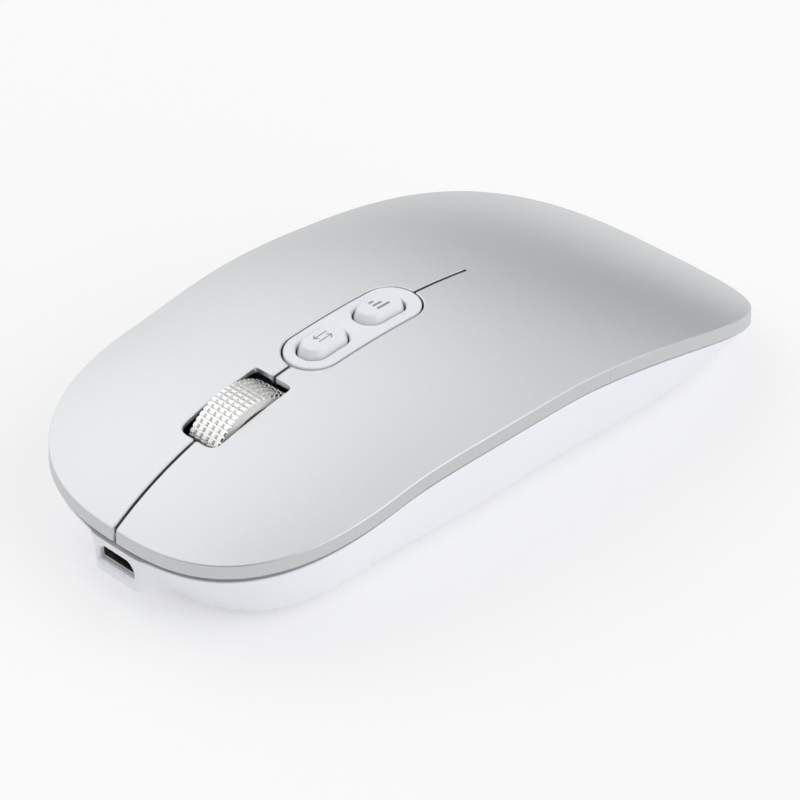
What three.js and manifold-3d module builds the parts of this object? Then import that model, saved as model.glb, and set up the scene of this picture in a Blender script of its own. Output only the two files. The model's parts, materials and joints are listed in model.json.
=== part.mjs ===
// A slim rechargeable wireless mouse, in millimetres.
// Frame: +Z is up, the nose points to -Y, the palm end to +Y, and +X is the side of the left button.
// The origin is on the desk, under the middle of the mouse.
import * as THREE from "three";
import { mergeVertices } from "three/addons/utils/BufferGeometryUtils.js";
import Module from "manifold-3d";

const wasm = await Module();
wasm.setup();

// ---- Driving dimensions: the body ----
const LENGTH = 114.5;
const WIDTH = 56;
const HALF = LENGTH / 2;
const NOSE = { centre: -29.35, width: 27, power: 2.55 };
const TAIL = { centre: 7.05, width: 27.8, power: 3.37 };
const SIDE_BOW = WIDTH / 2 - (NOSE.width + TAIL.width) / 2;
const NOSE_SHARE = 0.42; // share of the half outline, from the nose, that is the nose's curve
const TAIL_SHARE = 0.42;
const RIM = { top: 20.4, apex: -5.9, fall: 0.0035, skew: 6e-6 };
const CROWN = { height: 3.86, apex: -10.45, nosePower: 5.2, tailPower: 2.4, acrossPower: 2.3 };
const BAND = { nose: 2.0, tail: 2.37 }; // height of the silver edge
const SHELL_STEP = { nose: 0.9, tail: 0.4 }; // gap between the silver edge and the white shell
const BASE_INSET = { nose: 6.2, middle: 7.9, tail: 5 };
const BASE_Z = 0.8;
const COVER_WALL = 1.3;
const BAND_WALL = 1.1;
const FLOOR_WALL = 1.6;
const SIDE_WALL = 1.6;
const GAP = 0.3;
const AROUND = 60; // segments around a shell
const DOME_SHARES = [0, 0.35, 0.65, 0.87]; // rings of the cover, as shares of the way out
const LIP = { drop: 1.85, outer: 1.6, inner: 2.6 }; // the lower shell's lip inside the silver edge

// ---- Driving dimensions: the cover's openings ----
const SEAM = 0.46;
const HINGE_Y = 10.2;
const SLOT = { halfWidth: 3.55, front: -42.3, rear: -27.7, corner: 0.9 };
const PILL = { halfWidth: 4.6, front: -24.7, rear: -0.3, gap: 0.35 };
const BUTTON = { halfWidth: 2.4, proud: 1.2, gap: 0.3, cut: 1.5, corner: 0.6 };
const BUTTONS = [
  ["mode", { front: -22.4, rear: -14.4 }],
  ["dpi", { front: -11.5, rear: -3.3 }],
];

// ---- Driving dimensions: the wheel ----
const WHEEL = { y: -33.3, z: 13.5, radius: 9.2, halfWidth: 3.2, rimDepth: 3, bevel: 0.45 };
const AXLE_RADIUS = 1;
const BEARING_RADIUS = 1.06;
const WHEEL_RELIEF = 0.6; // gap between the wheel and the keys' underside
const EAR_X = 5;
const ENCODER = { from: 7.1, to: 7.7, radius: 4.6, slots: 10 };
const CRADLE = { low: 8.6, high: 9.9, halfWidth: 6, front: -48.4, rear: -20.6 };
const SPRING = { radius: 1.5, wire: 0.2, turns: 3, steps: 36 };

// ---- Driving dimensions: the inside ----
const BOARD = { bottom: 4, top: 5.2, halfWidth: 17, front: -46, rear: 9 };
const CLICK_SWITCH = { x: 12.3, y: -38.5, width: 5.8, length: 12.8, height: 6.5 };
const USB = { face: -57.15, halfWidth: 3.65, low: 5.4, high: 8 };
const TONGUE = { halfWidth: 4.6, front: -52 }; // the board's front end, under the charging port
const RECEIVER = { y: 14.2, width: 14.4, depth: 5.8, top: 7 };
const BATTERY = { front: 20.5, rear: 40, halfWidth: 15, height: 5.5 };
const CASE_SCREWS = [[14.5, 14.2], [-14.5, 14.2], [9, 44.2], [-9, 44.2]];
const BOARD_SCREWS = [[14, -14], [-14, -14]];
const POWER = { x: 12, y: 3, travel: 2 };
const SENSOR_Y = 0.5;
const FOOT = { halfWidth: 13, inner: 42, thickness: 1, depth: 5.4, bend: 3 };
const BRACKET_TOP = 16.5;
const BUTTON_BOARD = { low: BRACKET_TOP + GAP, high: BRACKET_TOP + GAP + 0.8 };
const TACT = { size: 4.4, height: 2.2, plunger: 0.9, hole: 1.15, proud: 0.7 };

// ---- Materials ----
const finish = (color, roughness, metalness = 0) =>
  new THREE.MeshStandardMaterial({ color, roughness, metalness });
const silver = finish(0xc9ccce, 0.38, 0.7);
const white = finish(0xf2f2f5, 0.35);
const black = finish(0x1b1c1e, 0.5);
const chrome = finish(0xe6e6e6, 0.15, 1);
const steel = finish(0xb4b6b8, 0.3, 1);
const boardGreen = finish(0x1d6b3c, 0.5);
const glide = finish(0x2b2c30, 0.45);
const clear = finish(0xdfe8ee, 0.1);
const pouch = finish(0xb9bdc4, 0.4, 0.6);
const amber = finish(0xd2913a, 0.4);
const redWire = finish(0xb01c1c, 0.5);
const gold = finish(0xd0a44a, 0.3, 1);

const mouse = new THREE.Group();

// ---- Solids ----
function solidOf(geometry) {
  const bare = geometry.clone();
  bare.deleteAttribute("normal");
  bare.deleteAttribute("uv");
  const merged = mergeVertices(bare, 1e-4);
  return new wasm.Manifold(
    new wasm.Mesh({
      numProp: 3,
      vertProperties: new Float32Array(merged.attributes.position.array),
      triVerts: new Uint32Array(merged.index.array),
    }),
  );
}

function geometryOf(solid) {
  const mesh = solid.getMesh();
  const geometry = new THREE.BufferGeometry();
  geometry.setAttribute("position", new THREE.BufferAttribute(mesh.vertProperties, 3));
  geometry.setIndex(new THREE.BufferAttribute(mesh.triVerts, 1));
  geometry.computeVertexNormals();
  return geometry;
}

function addPiece(name, solid, material) {
  const mesh = new THREE.Mesh(geometryOf(solid), material);
  mesh.name = name;
  mouse.add(mesh);
}

// A box centred on (x, y), from z0 up to z1.
function block(width, depth, z0, z1, x = 0, y = 0) {
  const box = new THREE.BoxGeometry(width, depth, z1 - z0);
  return solidOf(box.translate(x, y, (z0 + z1) / 2));
}

// A box between two corners.
function span(x0, x1, y0, y1, z0, z1) {
  return block(x1 - x0, y1 - y0, z0, z1, (x0 + x1) / 2, (y0 + y1) / 2);
}

function upright(radius, z0, z1, x = 0, y = 0, sides = 20) {
  const cylinder = new THREE.CylinderGeometry(radius, radius, z1 - z0, sides);
  return solidOf(cylinder.rotateX(Math.PI / 2).translate(x, y, (z0 + z1) / 2));
}

// A cylinder along X, centred on the wheel's axis.
function across(radius, x0, x1, sides = 32) {
  const cylinder = new THREE.CylinderGeometry(radius, radius, x1 - x0, sides);
  return solidOf(cylinder.rotateZ(Math.PI / 2).translate((x0 + x1) / 2, WHEEL.y, WHEEL.z));
}

// A closed profile of [x, radius] points turned about the wheel's axis.
function turned(profile, sides = 48) {
  const points = profile.map(([x, radius]) => new THREE.Vector2(radius, x));
  const lathe = new THREE.LatheGeometry([...points, points[0]], sides);
  return solidOf(lathe.rotateZ(-Math.PI / 2).translate(0, WHEEL.y, WHEEL.z));
}

function roundedPlan(halfWidth, front, rear, corner) {
  const shape = new THREE.Shape();
  const turns = [
    [halfWidth - corner, front + corner, -Math.PI / 2],
    [halfWidth - corner, rear - corner, 0],
    [corner - halfWidth, rear - corner, Math.PI / 2],
    [corner - halfWidth, front + corner, Math.PI],
  ];
  for (const [x, y, start] of turns) shape.absarc(x, y, corner, start, start + Math.PI / 2, false);
  return shape;
}

// A rectangle with its corners cut off, and each cut's ends rounded.
function cutCornerPlan(halfWidth, front, rear, cutOff, corner) {
  const middle = (front + rear) / 2;
  const [x, y] = [halfWidth, (rear - front) / 2];
  const quarter = [[x, y - cutOff], [x - cutOff, y]];
  const points = [
    ...quarter,
    ...quarter.toReversed().map(([a, b]) => [-a, b]),
    ...quarter.map(([a, b]) => [-a, -b]),
    ...quarter.toReversed().map(([a, b]) => [a, -b]),
  ].map(([a, b]) => new THREE.Vector2(a, b + middle));
  const shape = new THREE.Shape();
  points.forEach((point, i) => {
    const towards = (other) => other.clone().sub(point).setLength(corner).add(point);
    const start = towards(points[(i + 7) % 8]);
    const end = towards(points[(i + 1) % 8]);
    if (i === 0) shape.moveTo(start.x, start.y);
    else shape.lineTo(start.x, start.y);
    shape.quadraticCurveTo(point.x, point.y, end.x, end.y);
  });
  return shape;
}

function prism(shape, z0, z1, curveSegments = 4) {
  const options = { depth: z1 - z0, bevelEnabled: false, curveSegments };
  return solidOf(new THREE.ExtrudeGeometry(shape, options).translate(0, 0, z0));
}

function roundedPrism(halfWidth, front, rear, corner, z0, z1) {
  return prism(roundedPlan(halfWidth, front, rear, corner), z0, z1);
}

const joined = (first, ...others) => others.reduce((sum, solid) => sum.add(solid), first);
const cut = (first, ...others) => others.reduce((rest, solid) => rest.subtract(solid), first);

// ---- Shape of the body ----
const blend = (from, to, share) => from + (to - from) * share;
const noseShare = (y) => (HALF - y) / LENGTH; // 1 at the nose, 0 at the tail

function superellipse(end, side, angle) {
  const reach = HALF - side * end.centre;
  const along = Math.cos(angle) ** (2 / end.power);
  return [end.width * Math.sin(angle) ** (2 / end.power), end.centre + side * reach * along];
}

function sideWidth(share) {
  const eased = share * share * (3 - 2 * share);
  return blend(NOSE.width, TAIL.width, eased) + SIDE_BOW * 16 * (share * (1 - share)) ** 2;
}

// A point of the half outline on the +X side: t is 0 at the nose and 1 at the tail.
function outlinePoint(t) {
  if (t <= NOSE_SHARE) return superellipse(NOSE, -1, (t / NOSE_SHARE) * Math.PI / 2);
  if (t >= 1 - TAIL_SHARE) return superellipse(TAIL, 1, ((1 - t) / TAIL_SHARE) * Math.PI / 2);
  const share = (t - NOSE_SHARE) / (1 - NOSE_SHARE - TAIL_SHARE);
  return [sideWidth(share), blend(NOSE.centre, TAIL.centre, share)];
}

function insetPoint(t, inset) {
  const step = 1e-4;
  const before = outlinePoint(Math.max(0, t - step));
  const after = outlinePoint(Math.min(1, t + step));
  const [x, y] = outlinePoint(t);
  if (t < step) return [0, y + inset];
  if (t > 1 - step) return [0, y - inset];
  const along = new THREE.Vector2(after[0] - before[0], after[1] - before[1]).normalize();
  return [Math.max(0, x - along.y * inset), y + along.x * inset];
}

function halfWidthAt(y) {
  if (y >= NOSE.centre && y <= TAIL.centre) {
    return sideWidth((y - NOSE.centre) / (TAIL.centre - NOSE.centre));
  }
  const end = y < NOSE.centre ? NOSE : TAIL;
  const reach = y < NOSE.centre ? HALF + NOSE.centre : HALF - TAIL.centre;
  const share = Math.min(1, Math.abs(y - end.centre) / reach);
  return end.width * (1 - share ** end.power) ** (1 / end.power);
}

function rimZ(y) {
  const d = y - RIM.apex;
  return RIM.top - RIM.fall * d ** 2 - RIM.skew * d ** 3;
}

function crownZ(y) {
  const towardsNose = y < CROWN.apex;
  const reach = towardsNose ? HALF + CROWN.apex : HALF - CROWN.apex;
  const power = towardsNose ? CROWN.nosePower : CROWN.tailPower;
  const share = Math.min(1, Math.abs(y - CROWN.apex) / reach);
  return CROWN.height * (1 - share ** power);
}

function topZ(x, y) {
  const share = Math.min(1, Math.abs(x) / Math.max(halfWidthAt(y), 1e-6));
  return rimZ(y) + crownZ(y) * (1 - share ** CROWN.acrossPower);
}

const bandZ = (y) => rimZ(y) - blend(BAND.tail, BAND.nose, noseShare(y));
const shoulderZ = (y) => bandZ(y) - blend(SHELL_STEP.tail, SHELL_STEP.nose, noseShare(y));
const lipZ = (y) => rimZ(y) - LIP.drop;

// The floor's inset from the outline: a parabola through the nose, the middle and the tail.
function baseInset(y) {
  const s = noseShare(y);
  const nose = BASE_INSET.nose * s * (2 * s - 1);
  const middle = 4 * BASE_INSET.middle * s * (1 - s);
  return nose + middle + BASE_INSET.tail * (1 - s) * (1 - 2 * s);
}

// A closed shell turned like a lathe profile, but around the mouse's own outline.
// Each layer gives its share of the way out, its inset from the outline, and its height.
function shellOf(layers) {
  const profile = layers.map(({ share }, i) => new THREE.Vector2(share === 0 ? 0 : 1, i));
  const lathe = new THREE.LatheGeometry(profile, AROUND);
  const position = lathe.attributes.position;
  for (let i = 0; i < position.count; i++) {
    const layer = layers[Math.round(position.getY(i))];
    const turn = Math.atan2(position.getX(i), position.getZ(i));
    const [outX, outY] = insetPoint(Math.abs(turn) / Math.PI, layer.inset(outlineY(turn)));
    const x = Math.sign(turn) * outX * layer.share;
    const y = CROWN.apex + (outY - CROWN.apex) * layer.share;
    position.setXYZ(i, x, y, layer.z(x, y));
  }
  const solid = solidOf(lathe);
  return solid.volume() > 0 ? solid : solidOf(flipped(lathe));
}

const outlineY = (turn) => outlinePoint(Math.abs(turn) / Math.PI)[1];

function flipped(geometry) {
  const index = geometry.index.array;
  for (let i = 0; i < index.length; i += 3) [index[i], index[i + 1]] = [index[i + 1], index[i]];
  return geometry;
}

function layer(share, inset, z) {
  return { share, inset: typeof inset === "number" ? () => inset : inset, z };
}

function coverBlank() {
  const under = (x, y) => topZ(x, y) - COVER_WALL;
  return shellOf([
    ...DOME_SHARES.map((share) => layer(share, 0, topZ)),
    layer(1, 0, (x, y) => rimZ(y)),
    layer(1, 0, (x, y) => bandZ(y)),
    layer(1, BAND_WALL, (x, y) => bandZ(y)),
    layer(1, BAND_WALL, (x, y) => Math.max(under(x, y), bandZ(y) + 0.3)),
    ...DOME_SHARES.toReversed().map((share) => layer(share, BAND_WALL, under)),
  ]);
}

function lowerShellBlank() {
  const floorTop = BASE_Z + FLOOR_WALL;
  return shellOf([
    layer(0, 0, () => BASE_Z),
    layer(1, (y) => baseInset(y) + 0.7, () => BASE_Z),
    layer(1, (y) => baseInset(y) + 0.1, () => BASE_Z + 0.5),
    layer(1, 0.5, (x, y) => shoulderZ(y)),
    layer(1, LIP.outer, (x, y) => shoulderZ(y)),
    layer(1, LIP.outer, (x, y) => lipZ(y)),
    layer(1, LIP.inner, (x, y) => lipZ(y)),
    layer(1, (y) => baseInset(y) + SIDE_WALL + 0.6, () => floorTop),
    layer(0, 0, () => floorTop),
  ]);
}

// ---- The silver cover: palm part and two keys ----
function coverOpenings() {
  const slot = roundedPrism(SLOT.halfWidth, SLOT.front, SLOT.rear, SLOT.corner, 0, 30);
  const pill = roundedPrism(PILL.halfWidth, PILL.front, PILL.rear, PILL.halfWidth - 0.01, 0, 30);
  return joined(slot, pill);
}

// Screw posts that hang from the cover, each ending inside its wall.
function screwBosses() {
  const radius = 2.6;
  return CASE_SCREWS.map(([x, y]) => {
    const lowest = topZ(Math.abs(x) + radius, y + radius);
    const post = upright(radius, 6, lowest - COVER_WALL / 3, x, y);
    return cut(post, upright(0.9, 5, 11, x, y));
  });
}

// Room for the wheel under the edges of its slot, so that a pressed key stays clear of it.
const wheelRelief = () => across(WHEEL.radius + WHEEL_RELIEF, -SLOT.halfWidth, SLOT.halfWidth, 48);

function addCover() {
  const blank = cut(coverBlank(), coverOpenings(), wheelRelief());
  const palm = cut(blank, span(-40, 40, -80, HINGE_Y, 0, 40));
  addPiece("palm_cover", joined(palm, ...screwBosses()), silver);
  for (const [name, side] of [["left_button", 1], ["right_button", -1]]) {
    const x0 = side > 0 ? SEAM / 2 : -40;
    const key = blank.intersect(span(x0, x0 + 40 - SEAM / 2, -80, HINGE_Y - GAP, 0, 40));
    addPiece(name, joined(key, actuatorRib(side)), silver);
  }
}

// The rib under a key that presses the click switch's plunger.
function actuatorRib(side) {
  const x = side * CLICK_SWITCH.x;
  const low = BOARD.top + GAP + CLICK_SWITCH.height + 0.8 + GAP;
  return block(3, 1.6, low, topZ(x, CLICK_SWITCH.y) - COVER_WALL / 2, x, CLICK_SWITCH.y);
}

// ---- The white lower shell ----
function usbNose() {
  const flare = new THREE.Shape();
  const wall = USB.face + 5.5;
  flare.moveTo(-8.2, wall).quadraticCurveTo(-5, wall - 1.6, -4.7, USB.face);
  flare.lineTo(4.7, USB.face).quadraticCurveTo(5, wall - 1.6, 8.2, wall);
  flare.lineTo(8.2, wall + 0.8).lineTo(-8.2, wall + 0.8);
  return prism(flare, 3.4, shoulderZ(-HALF + 1) - 0.1);
}

function usbRecess() {
  const chamfer = 0.6;
  const mouth = new THREE.Shape();
  mouth.moveTo(-USB.halfWidth + chamfer, USB.low).lineTo(USB.halfWidth - chamfer, USB.low);
  mouth.lineTo(USB.halfWidth, USB.low + 1).lineTo(USB.halfWidth, USB.high - chamfer);
  mouth.lineTo(USB.halfWidth - chamfer, USB.high).lineTo(chamfer - USB.halfWidth, USB.high);
  mouth.lineTo(-USB.halfWidth, USB.high - chamfer).lineTo(-USB.halfWidth, USB.low + 1);
  const options = { depth: 3, bevelEnabled: false };
  const opening = new THREE.ExtrudeGeometry(mouth, options).rotateX(Math.PI / 2);
  const portSpace = span(-3.9, 3.9, USB.face + 0.8, -45, USB.low - 0.1, USB.high + 0.4);
  const boardSpace = span(-TONGUE.halfWidth - GAP, TONGUE.halfWidth + GAP, TONGUE.front - GAP, -45,
    BOARD.bottom - GAP, USB.high);
  return joined(solidOf(opening.translate(0, USB.face + 2, 0)), portSpace, boardSpace);
}

function boardPosts() {
  return BOARD_SCREWS.map(([x, y]) =>
    cut(upright(2.4, 2, BOARD.bottom - GAP, x, y), upright(0.75, 1.6, 5, x, y)));
}

function receiverPocket() {
  const { y, width, depth } = RECEIVER;
  const wall = 1.2;
  const outer = block(width + 2 * (GAP + wall), depth + 2 * (GAP + wall), 1, 12, 0, y);
  return cut(outer, block(width + 2 * GAP, depth + 2 * GAP, 0, 13, 0, y));
}

function footRecess(side) {
  return prism(footPlan(side, GAP), BASE_Z - 1, BASE_Z + 0.5);
}

function addLowerShell() {
  const pocketHole = block(RECEIVER.width + 2 * GAP, RECEIVER.depth + 2 * GAP, 0, 13, 0, RECEIVER.y);
  const lensHole = roundedPrism(3.6, -3.5, 4.5, 1.5, 0, 3);
  const switchSlot = block(5.4, 2.6, 0, 3, POWER.x, POWER.y);
  const holes = [pocketHole, lensHole, switchSlot, usbRecess(), footRecess(-1), footRecess(1)];
  for (const [x, y] of CASE_SCREWS) {
    const head = upright(2.3, 0, y > BATTERY.front ? 3.4 : 3.8, x, y);
    holes.push(head, upright(1.3, 0, 6.5, x, y));
  }
  const collars = CASE_SCREWS.map(([x, y]) => upright(3.4, BASE_Z + 0.6, 5.4, x, y));
  const tub = joined(lowerShellBlank(), usbNose(), receiverPocket(), ...boardPosts(), ...collars);
  addPiece("bottom_shell", cut(tub, ...holes), white);
}

// ---- Glide feet: bars bent along the nose and the tail ----
function footPlan(side, margin) {
  const inner = side * FOOT.inner - side * margin;
  const outer = inner + side * (FOOT.depth + 2 * margin);
  const reach = FOOT.halfWidth + margin;
  const shape = new THREE.Shape();
  shape.moveTo(-reach, inner - side * FOOT.bend);
  shape.quadraticCurveTo(0, inner + side * FOOT.bend, reach, inner - side * FOOT.bend);
  shape.lineTo(reach, outer - side * FOOT.bend);
  shape.quadraticCurveTo(0, outer + side * FOOT.bend, -reach, outer - side * FOOT.bend);
  return shape;
}

function addFeet() {
  addPiece("front_glide_foot", prism(footPlan(-1, 0), 0, FOOT.thickness), glide);
  addPiece("rear_glide_foot", prism(footPlan(1, 0), 0, FOOT.thickness), glide);
}

// ---- Buttons behind the wheel ----
// A layer of the cover along its middle line, where the cover hardly curves across.
function middleLayer(lift, thickness) {
  const steps = 10;
  const places = Array.from({ length: steps + 1 }, (_, i) => blend(PILL.front, PILL.rear, i / steps));
  const side = new THREE.Shape();
  side.moveTo(PILL.front, topZ(0, PILL.front) + lift - thickness);
  for (const y of places) side.lineTo(y, topZ(0, y) + lift);
  for (const y of places.toReversed()) side.lineTo(y, topZ(0, y) + lift - thickness);
  const width = 2 * PILL.halfWidth;
  const layerBar = new THREE.ExtrudeGeometry(side, { depth: width, bevelEnabled: false });
  return solidOf(layerBar.rotateX(Math.PI / 2).rotateZ(Math.PI / 2).translate(-width / 2, 0, 0));
}

const buttonPlan = (front, rear, margin) =>
  cutCornerPlan(BUTTON.halfWidth + margin, front - margin, rear + margin, BUTTON.cut, BUTTON.corner);

function addBezel() {
  const reach = PILL.halfWidth - PILL.gap;
  const front = PILL.front + PILL.gap;
  const rear = PILL.rear - PILL.gap;
  const plate = roundedPrism(reach, front, rear, reach - 0.01, 0, 30).intersect(middleLayer(0, 1.5));
  const windows = BUTTONS.map(([, place]) =>
    prism(buttonPlan(place.front, place.rear, BUTTON.gap), 0, 30, 2));
  const leg = (y) => block(4, 1, BUTTON_BOARD.high + GAP, topZ(0, y) - 1, 0, y);
  addPiece("button_bezel", joined(cut(plate, ...windows), leg(front + 0.9), leg(rear - 1.2)), white);
}

function addTopButton(name, { front, rear }) {
  const middle = (front + rear) / 2;
  const outline = prism(buttonPlan(front, rear, 0), 0, 40, 2);
  const cap = outline.intersect(middleLayer(BUTTON.proud, 3.2));
  const tactTop = BUTTON_BOARD.high + GAP + TACT.height;
  const stem = upright(1, tactTop + TACT.proud + GAP, topZ(0, middle), 0, middle);
  addPiece(name + "_button", joined(cap, stem), white);
  addTact(name + "_switch", 0, middle, BUTTON_BOARD.high + GAP);
}

// A tactile switch and the plunger that moves in it.
function addTact(name, x, y, low) {
  const { size, height, plunger, hole, proud } = TACT;
  const body = block(size, size, low, low + height, x, y);
  addPiece(name, cut(body, upright(hole, low + 0.6, low + height + 1, x, y)), steel);
  addPiece(name + "_plunger", upright(plunger, low + 1.3, low + height + proud, x, y), black);
}

function addButtonBoard() {
  const legs = [[-3.4, -18.5], [3.4, -18.5], [-3.4, -6.5], [3.4, -6.5]].map(([x, y]) =>
    block(1.6, 2, BOARD.top + GAP, BRACKET_TOP, x, y));
  const table = span(-4.2, 4.2, -23.2, -1.8, BRACKET_TOP - 1.2, BRACKET_TOP);
  addPiece("button_bracket", joined(table, ...legs), black);
  addPiece("button_board", span(-4, 4, -23, -2, BUTTON_BOARD.low, BUTTON_BOARD.high), boardGreen);
  addPiece("ribbon_cable", buttonRibbon(), amber);
}

// The flat cable that drops from the rear of the button board to the main board.
function buttonRibbon() {
  const bend = new THREE.CatmullRomCurve3([
    new THREE.Vector3(0, -1.6, BUTTON_BOARD.low + 0.4),
    new THREE.Vector3(0, 1, BUTTON_BOARD.low - 0.4),
    new THREE.Vector3(0, 5, 12.6),
    new THREE.Vector3(0, 6.7, 8.6),
    new THREE.Vector3(0, 7.3, BOARD.top + GAP),
  ]);
  return solidOf(sweep(bend, rectangle(2.5, 0.15), 12));
}

function rectangle(halfHeight, halfWidth) {
  const shape = new THREE.Shape();
  shape.moveTo(-halfHeight, -halfWidth).lineTo(halfHeight, -halfWidth);
  return shape.lineTo(halfHeight, halfWidth).lineTo(-halfHeight, halfWidth);
}

function sweep(path, shape, steps) {
  return new THREE.ExtrudeGeometry(shape, { extrudePath: path, steps, bevelEnabled: false });
}

function ringSection(radius, sides) {
  const section = new THREE.Shape();
  for (let i = 0; i < sides; i++) {
    const angle = (i / sides) * 2 * Math.PI;
    const place = [radius * Math.cos(angle), radius * Math.sin(angle)];
    if (i === 0) section.moveTo(...place);
    else section.lineTo(...place);
  }
  return section;
}

// ---- Scroll wheel on its spring-loaded cradle ----
function addWheel() {
  const { radius, halfWidth, rimDepth, bevel } = WHEEL;
  const bore = radius - rimDepth;
  const edge = radius - 2 * bevel;
  addPiece("wheel_rim", turned([
    [-halfWidth, bore], [-halfWidth, edge], [bevel - halfWidth, radius],
    [halfWidth - bevel, radius], [halfWidth, edge], [halfWidth, bore],
  ]), chrome);
  const hubRadius = bore - GAP;
  addPiece("wheel_hub", turned([
    [-halfWidth + 0.3, BEARING_RADIUS + 0.2], [-halfWidth + 0.3, 2.6], [-1.2, 3.2], [-1.2, 5.6],
    [-halfWidth + 0.6, hubRadius], [halfWidth - 0.6, hubRadius],
    [1.2, 5.6], [1.2, 3.2], [halfWidth - 0.3, 2.6], [halfWidth - 0.3, BEARING_RADIUS + 0.2],
  ], 32), black);
  addPiece("wheel_axle", across(AXLE_RADIUS, -7.4, 8.6, 16), steel);
  addEncoder();
}

// A slotted disc on the axle, between a light and a pair of light sensors.
function addEncoder() {
  const { from: x0, to: x1, radius, slots } = ENCODER;
  let disc = cut(across(radius, x0, x1, 36), across(BEARING_RADIUS + 0.2, x0 - 1, x1 + 1, 16));
  for (let i = 0; i < slots; i++) {
    const slot = new THREE.BoxGeometry(2, 0.9, 1.4).translate(0, 0, radius - 1);
    slot.rotateX((i / slots) * 2 * Math.PI).translate((x0 + x1) / 2, WHEEL.y, WHEEL.z);
    disc = cut(disc, solidOf(slot));
  }
  addPiece("encoder_disc", disc, black);
  const height = WHEEL.z - 2.2;
  addPiece("encoder_emitter", block(1.1, 3, BOARD.top + GAP, height, 8.55, WHEEL.y), clear);
  addPiece("encoder_detector", block(0.5, 3, BOARD.top + GAP, height, 6.5, WHEEL.y), black);
}

function addCradle() {
  const { low, high, halfWidth, front, rear } = CRADLE;
  const frame = cut(
    span(-halfWidth, halfWidth, front, rear, low, high),
    span(-3.9, 3.9, WHEEL.y - 9.9, WHEEL.y + 9.9, 0, 20),
  );
  const ears = [-1, 1].map((side) =>
    block(1.4, 5, high - 0.1, WHEEL.z + 2.4, side * EAR_X, WHEEL.y));
  addPiece("wheel_cradle", cut(joined(frame, ...ears), across(BEARING_RADIUS, -9, 9, 24)), black);
  addTact("middle_switch", 0, front + 2.5, CRADLE.low - GAP - TACT.height - TACT.proud);
  addPiece("cradle_spring", cradleSpring(), steel);
}

function cradleSpring() {
  const { radius, wire, turns, steps } = SPRING;
  const bottom = BOARD.top + GAP + 0.3;
  const top = CRADLE.low - GAP - 0.3;
  const points = Array.from({ length: steps + 1 }, (_, i) => {
    const angle = (i / steps) * turns * 2 * Math.PI;
    const z = blend(bottom, top, i / steps);
    const y = CRADLE.rear - 1.2 + radius * Math.sin(angle);
    return new THREE.Vector3(radius * Math.cos(angle), y, z);
  });
  return solidOf(sweep(new THREE.CatmullRomCurve3(points), ringSection(wire, 5), steps));
}

// ---- Main board and what is on it ----
function addMainBoard() {
  const outline = roundedPrism(BOARD.halfWidth, BOARD.front, BOARD.rear, 6, BOARD.bottom, BOARD.top);
  const wheelSlot = span(-4.4, 4.4, WHEEL.y - 10.2, WHEEL.y + 10.2, 0, 10);
  const lensSeat = block(5, 5, 0, 10, 0, SENSOR_Y);
  const holes = BOARD_SCREWS.map(([x, y]) => upright(1.1, 0, 10, x, y));
  const reach = TONGUE.halfWidth;
  const tongue = span(-reach, reach, TONGUE.front, BOARD.front + 1, BOARD.bottom, BOARD.top);
  const board = joined(outline, tongue);
  addPiece("main_board", cut(board, wheelSlot, lensSeat, ...holes), boardGreen);
  const top = BOARD.top + GAP;
  addPiece("sensor_chip", block(10, 9, top, top + 2.2, 0, SENSOR_Y), black);
  addPiece("sensor_lens", sensorLens(), clear);
  addPiece("radio_chip", block(5, 5, top, top + 0.9, -12, -4), black);
  addPiece("crystal", roundedPrism(1.6, -11, -8, 0.7, top, top + 1.2).translate([-9, 0, 0]), steel);
  addPiece("charging_chip", block(3, 4, top, top + 1.1, 7.5, -43), black);
}

function sensorLens() {
  const reach = 3.5;
  const plate = roundedPrism(reach - 0.3, SENSOR_Y - reach, SENSOR_Y + reach, 1.2, 1.3, 2.3);
  const pillar = upright(1.8, 2, BOARD.bottom - 0.1, 0, SENSOR_Y);
  return joined(plate, pillar);
}

function addClickSwitches() {
  const { x, y, width, length, height } = CLICK_SWITCH;
  const low = BOARD.top + GAP;
  for (const [name, side] of [["left", 1], ["right", -1]]) {
    const body = block(width, length, low, low + height, side * x, y);
    const well = block(2.2, 1.9, low + height - 2.6, low + height + 1, side * x, y);
    addPiece(name + "_switch", cut(body, well), black);
    const plunger = block(1.6, 1.3, low + height - 1.4, low + height + 0.8, side * x, y);
    addPiece(name + "_switch_plunger", plunger, white);
  }
}

// ---- Charging port ----
function addUsbPort() {
  const front = USB.face + 0.8;
  const rear = front + 7;
  const low = BOARD.top + GAP + 0.1;
  const shell = cut(
    span(-3.4, 3.4, front, rear, low, low + 2.2),
    span(-3.1, 3.1, front - 1, rear - 0.5, low + 0.3, low + 1.9),
  );
  addPiece("usb_port_shell", shell, steel);
  addPiece("usb_port_tongue", span(-2.4, 2.4, front + 0.6, rear - 0.8, low + 1.0, low + 1.6), black);
}

// ---- Battery ----
function addBattery() {
  const { front, rear, halfWidth, height } = BATTERY;
  const floor = BASE_Z + FLOOR_WALL + GAP;
  const tape = 0.6;
  const low = floor + tape + GAP;
  addPiece("battery_tape", span(-8, 8, front + 3, rear - 9, floor, floor + tape), black);
  const cell = roundedPrism(halfWidth, front, rear, 2, low + 1.4, low + 1.4 + height);
  addPiece("battery", cell, pouch);
  const plugY = BOARD.rear - 3;
  addPiece("battery_plug", block(3.4, 4, BOARD.top + GAP, BOARD.top + 3.4, -10.3, plugY), white);
  for (const [name, x, look] of [["battery_lead_red", -11, redWire], ["battery_lead_black", -9.6, black]]) {
    const path = new THREE.CatmullRomCurve3([
      new THREE.Vector3(x, plugY + 2.4, BOARD.top + 1.8),
      new THREE.Vector3(x, plugY + 6, BOARD.top + 2.2),
      new THREE.Vector3(x, front - 4, low + 3),
      new THREE.Vector3(x, front - 0.5, low + 4),
    ]);
    addPiece(name, solidOf(sweep(path, ringSection(0.5, 8), 14)), look);
  }
}

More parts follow.
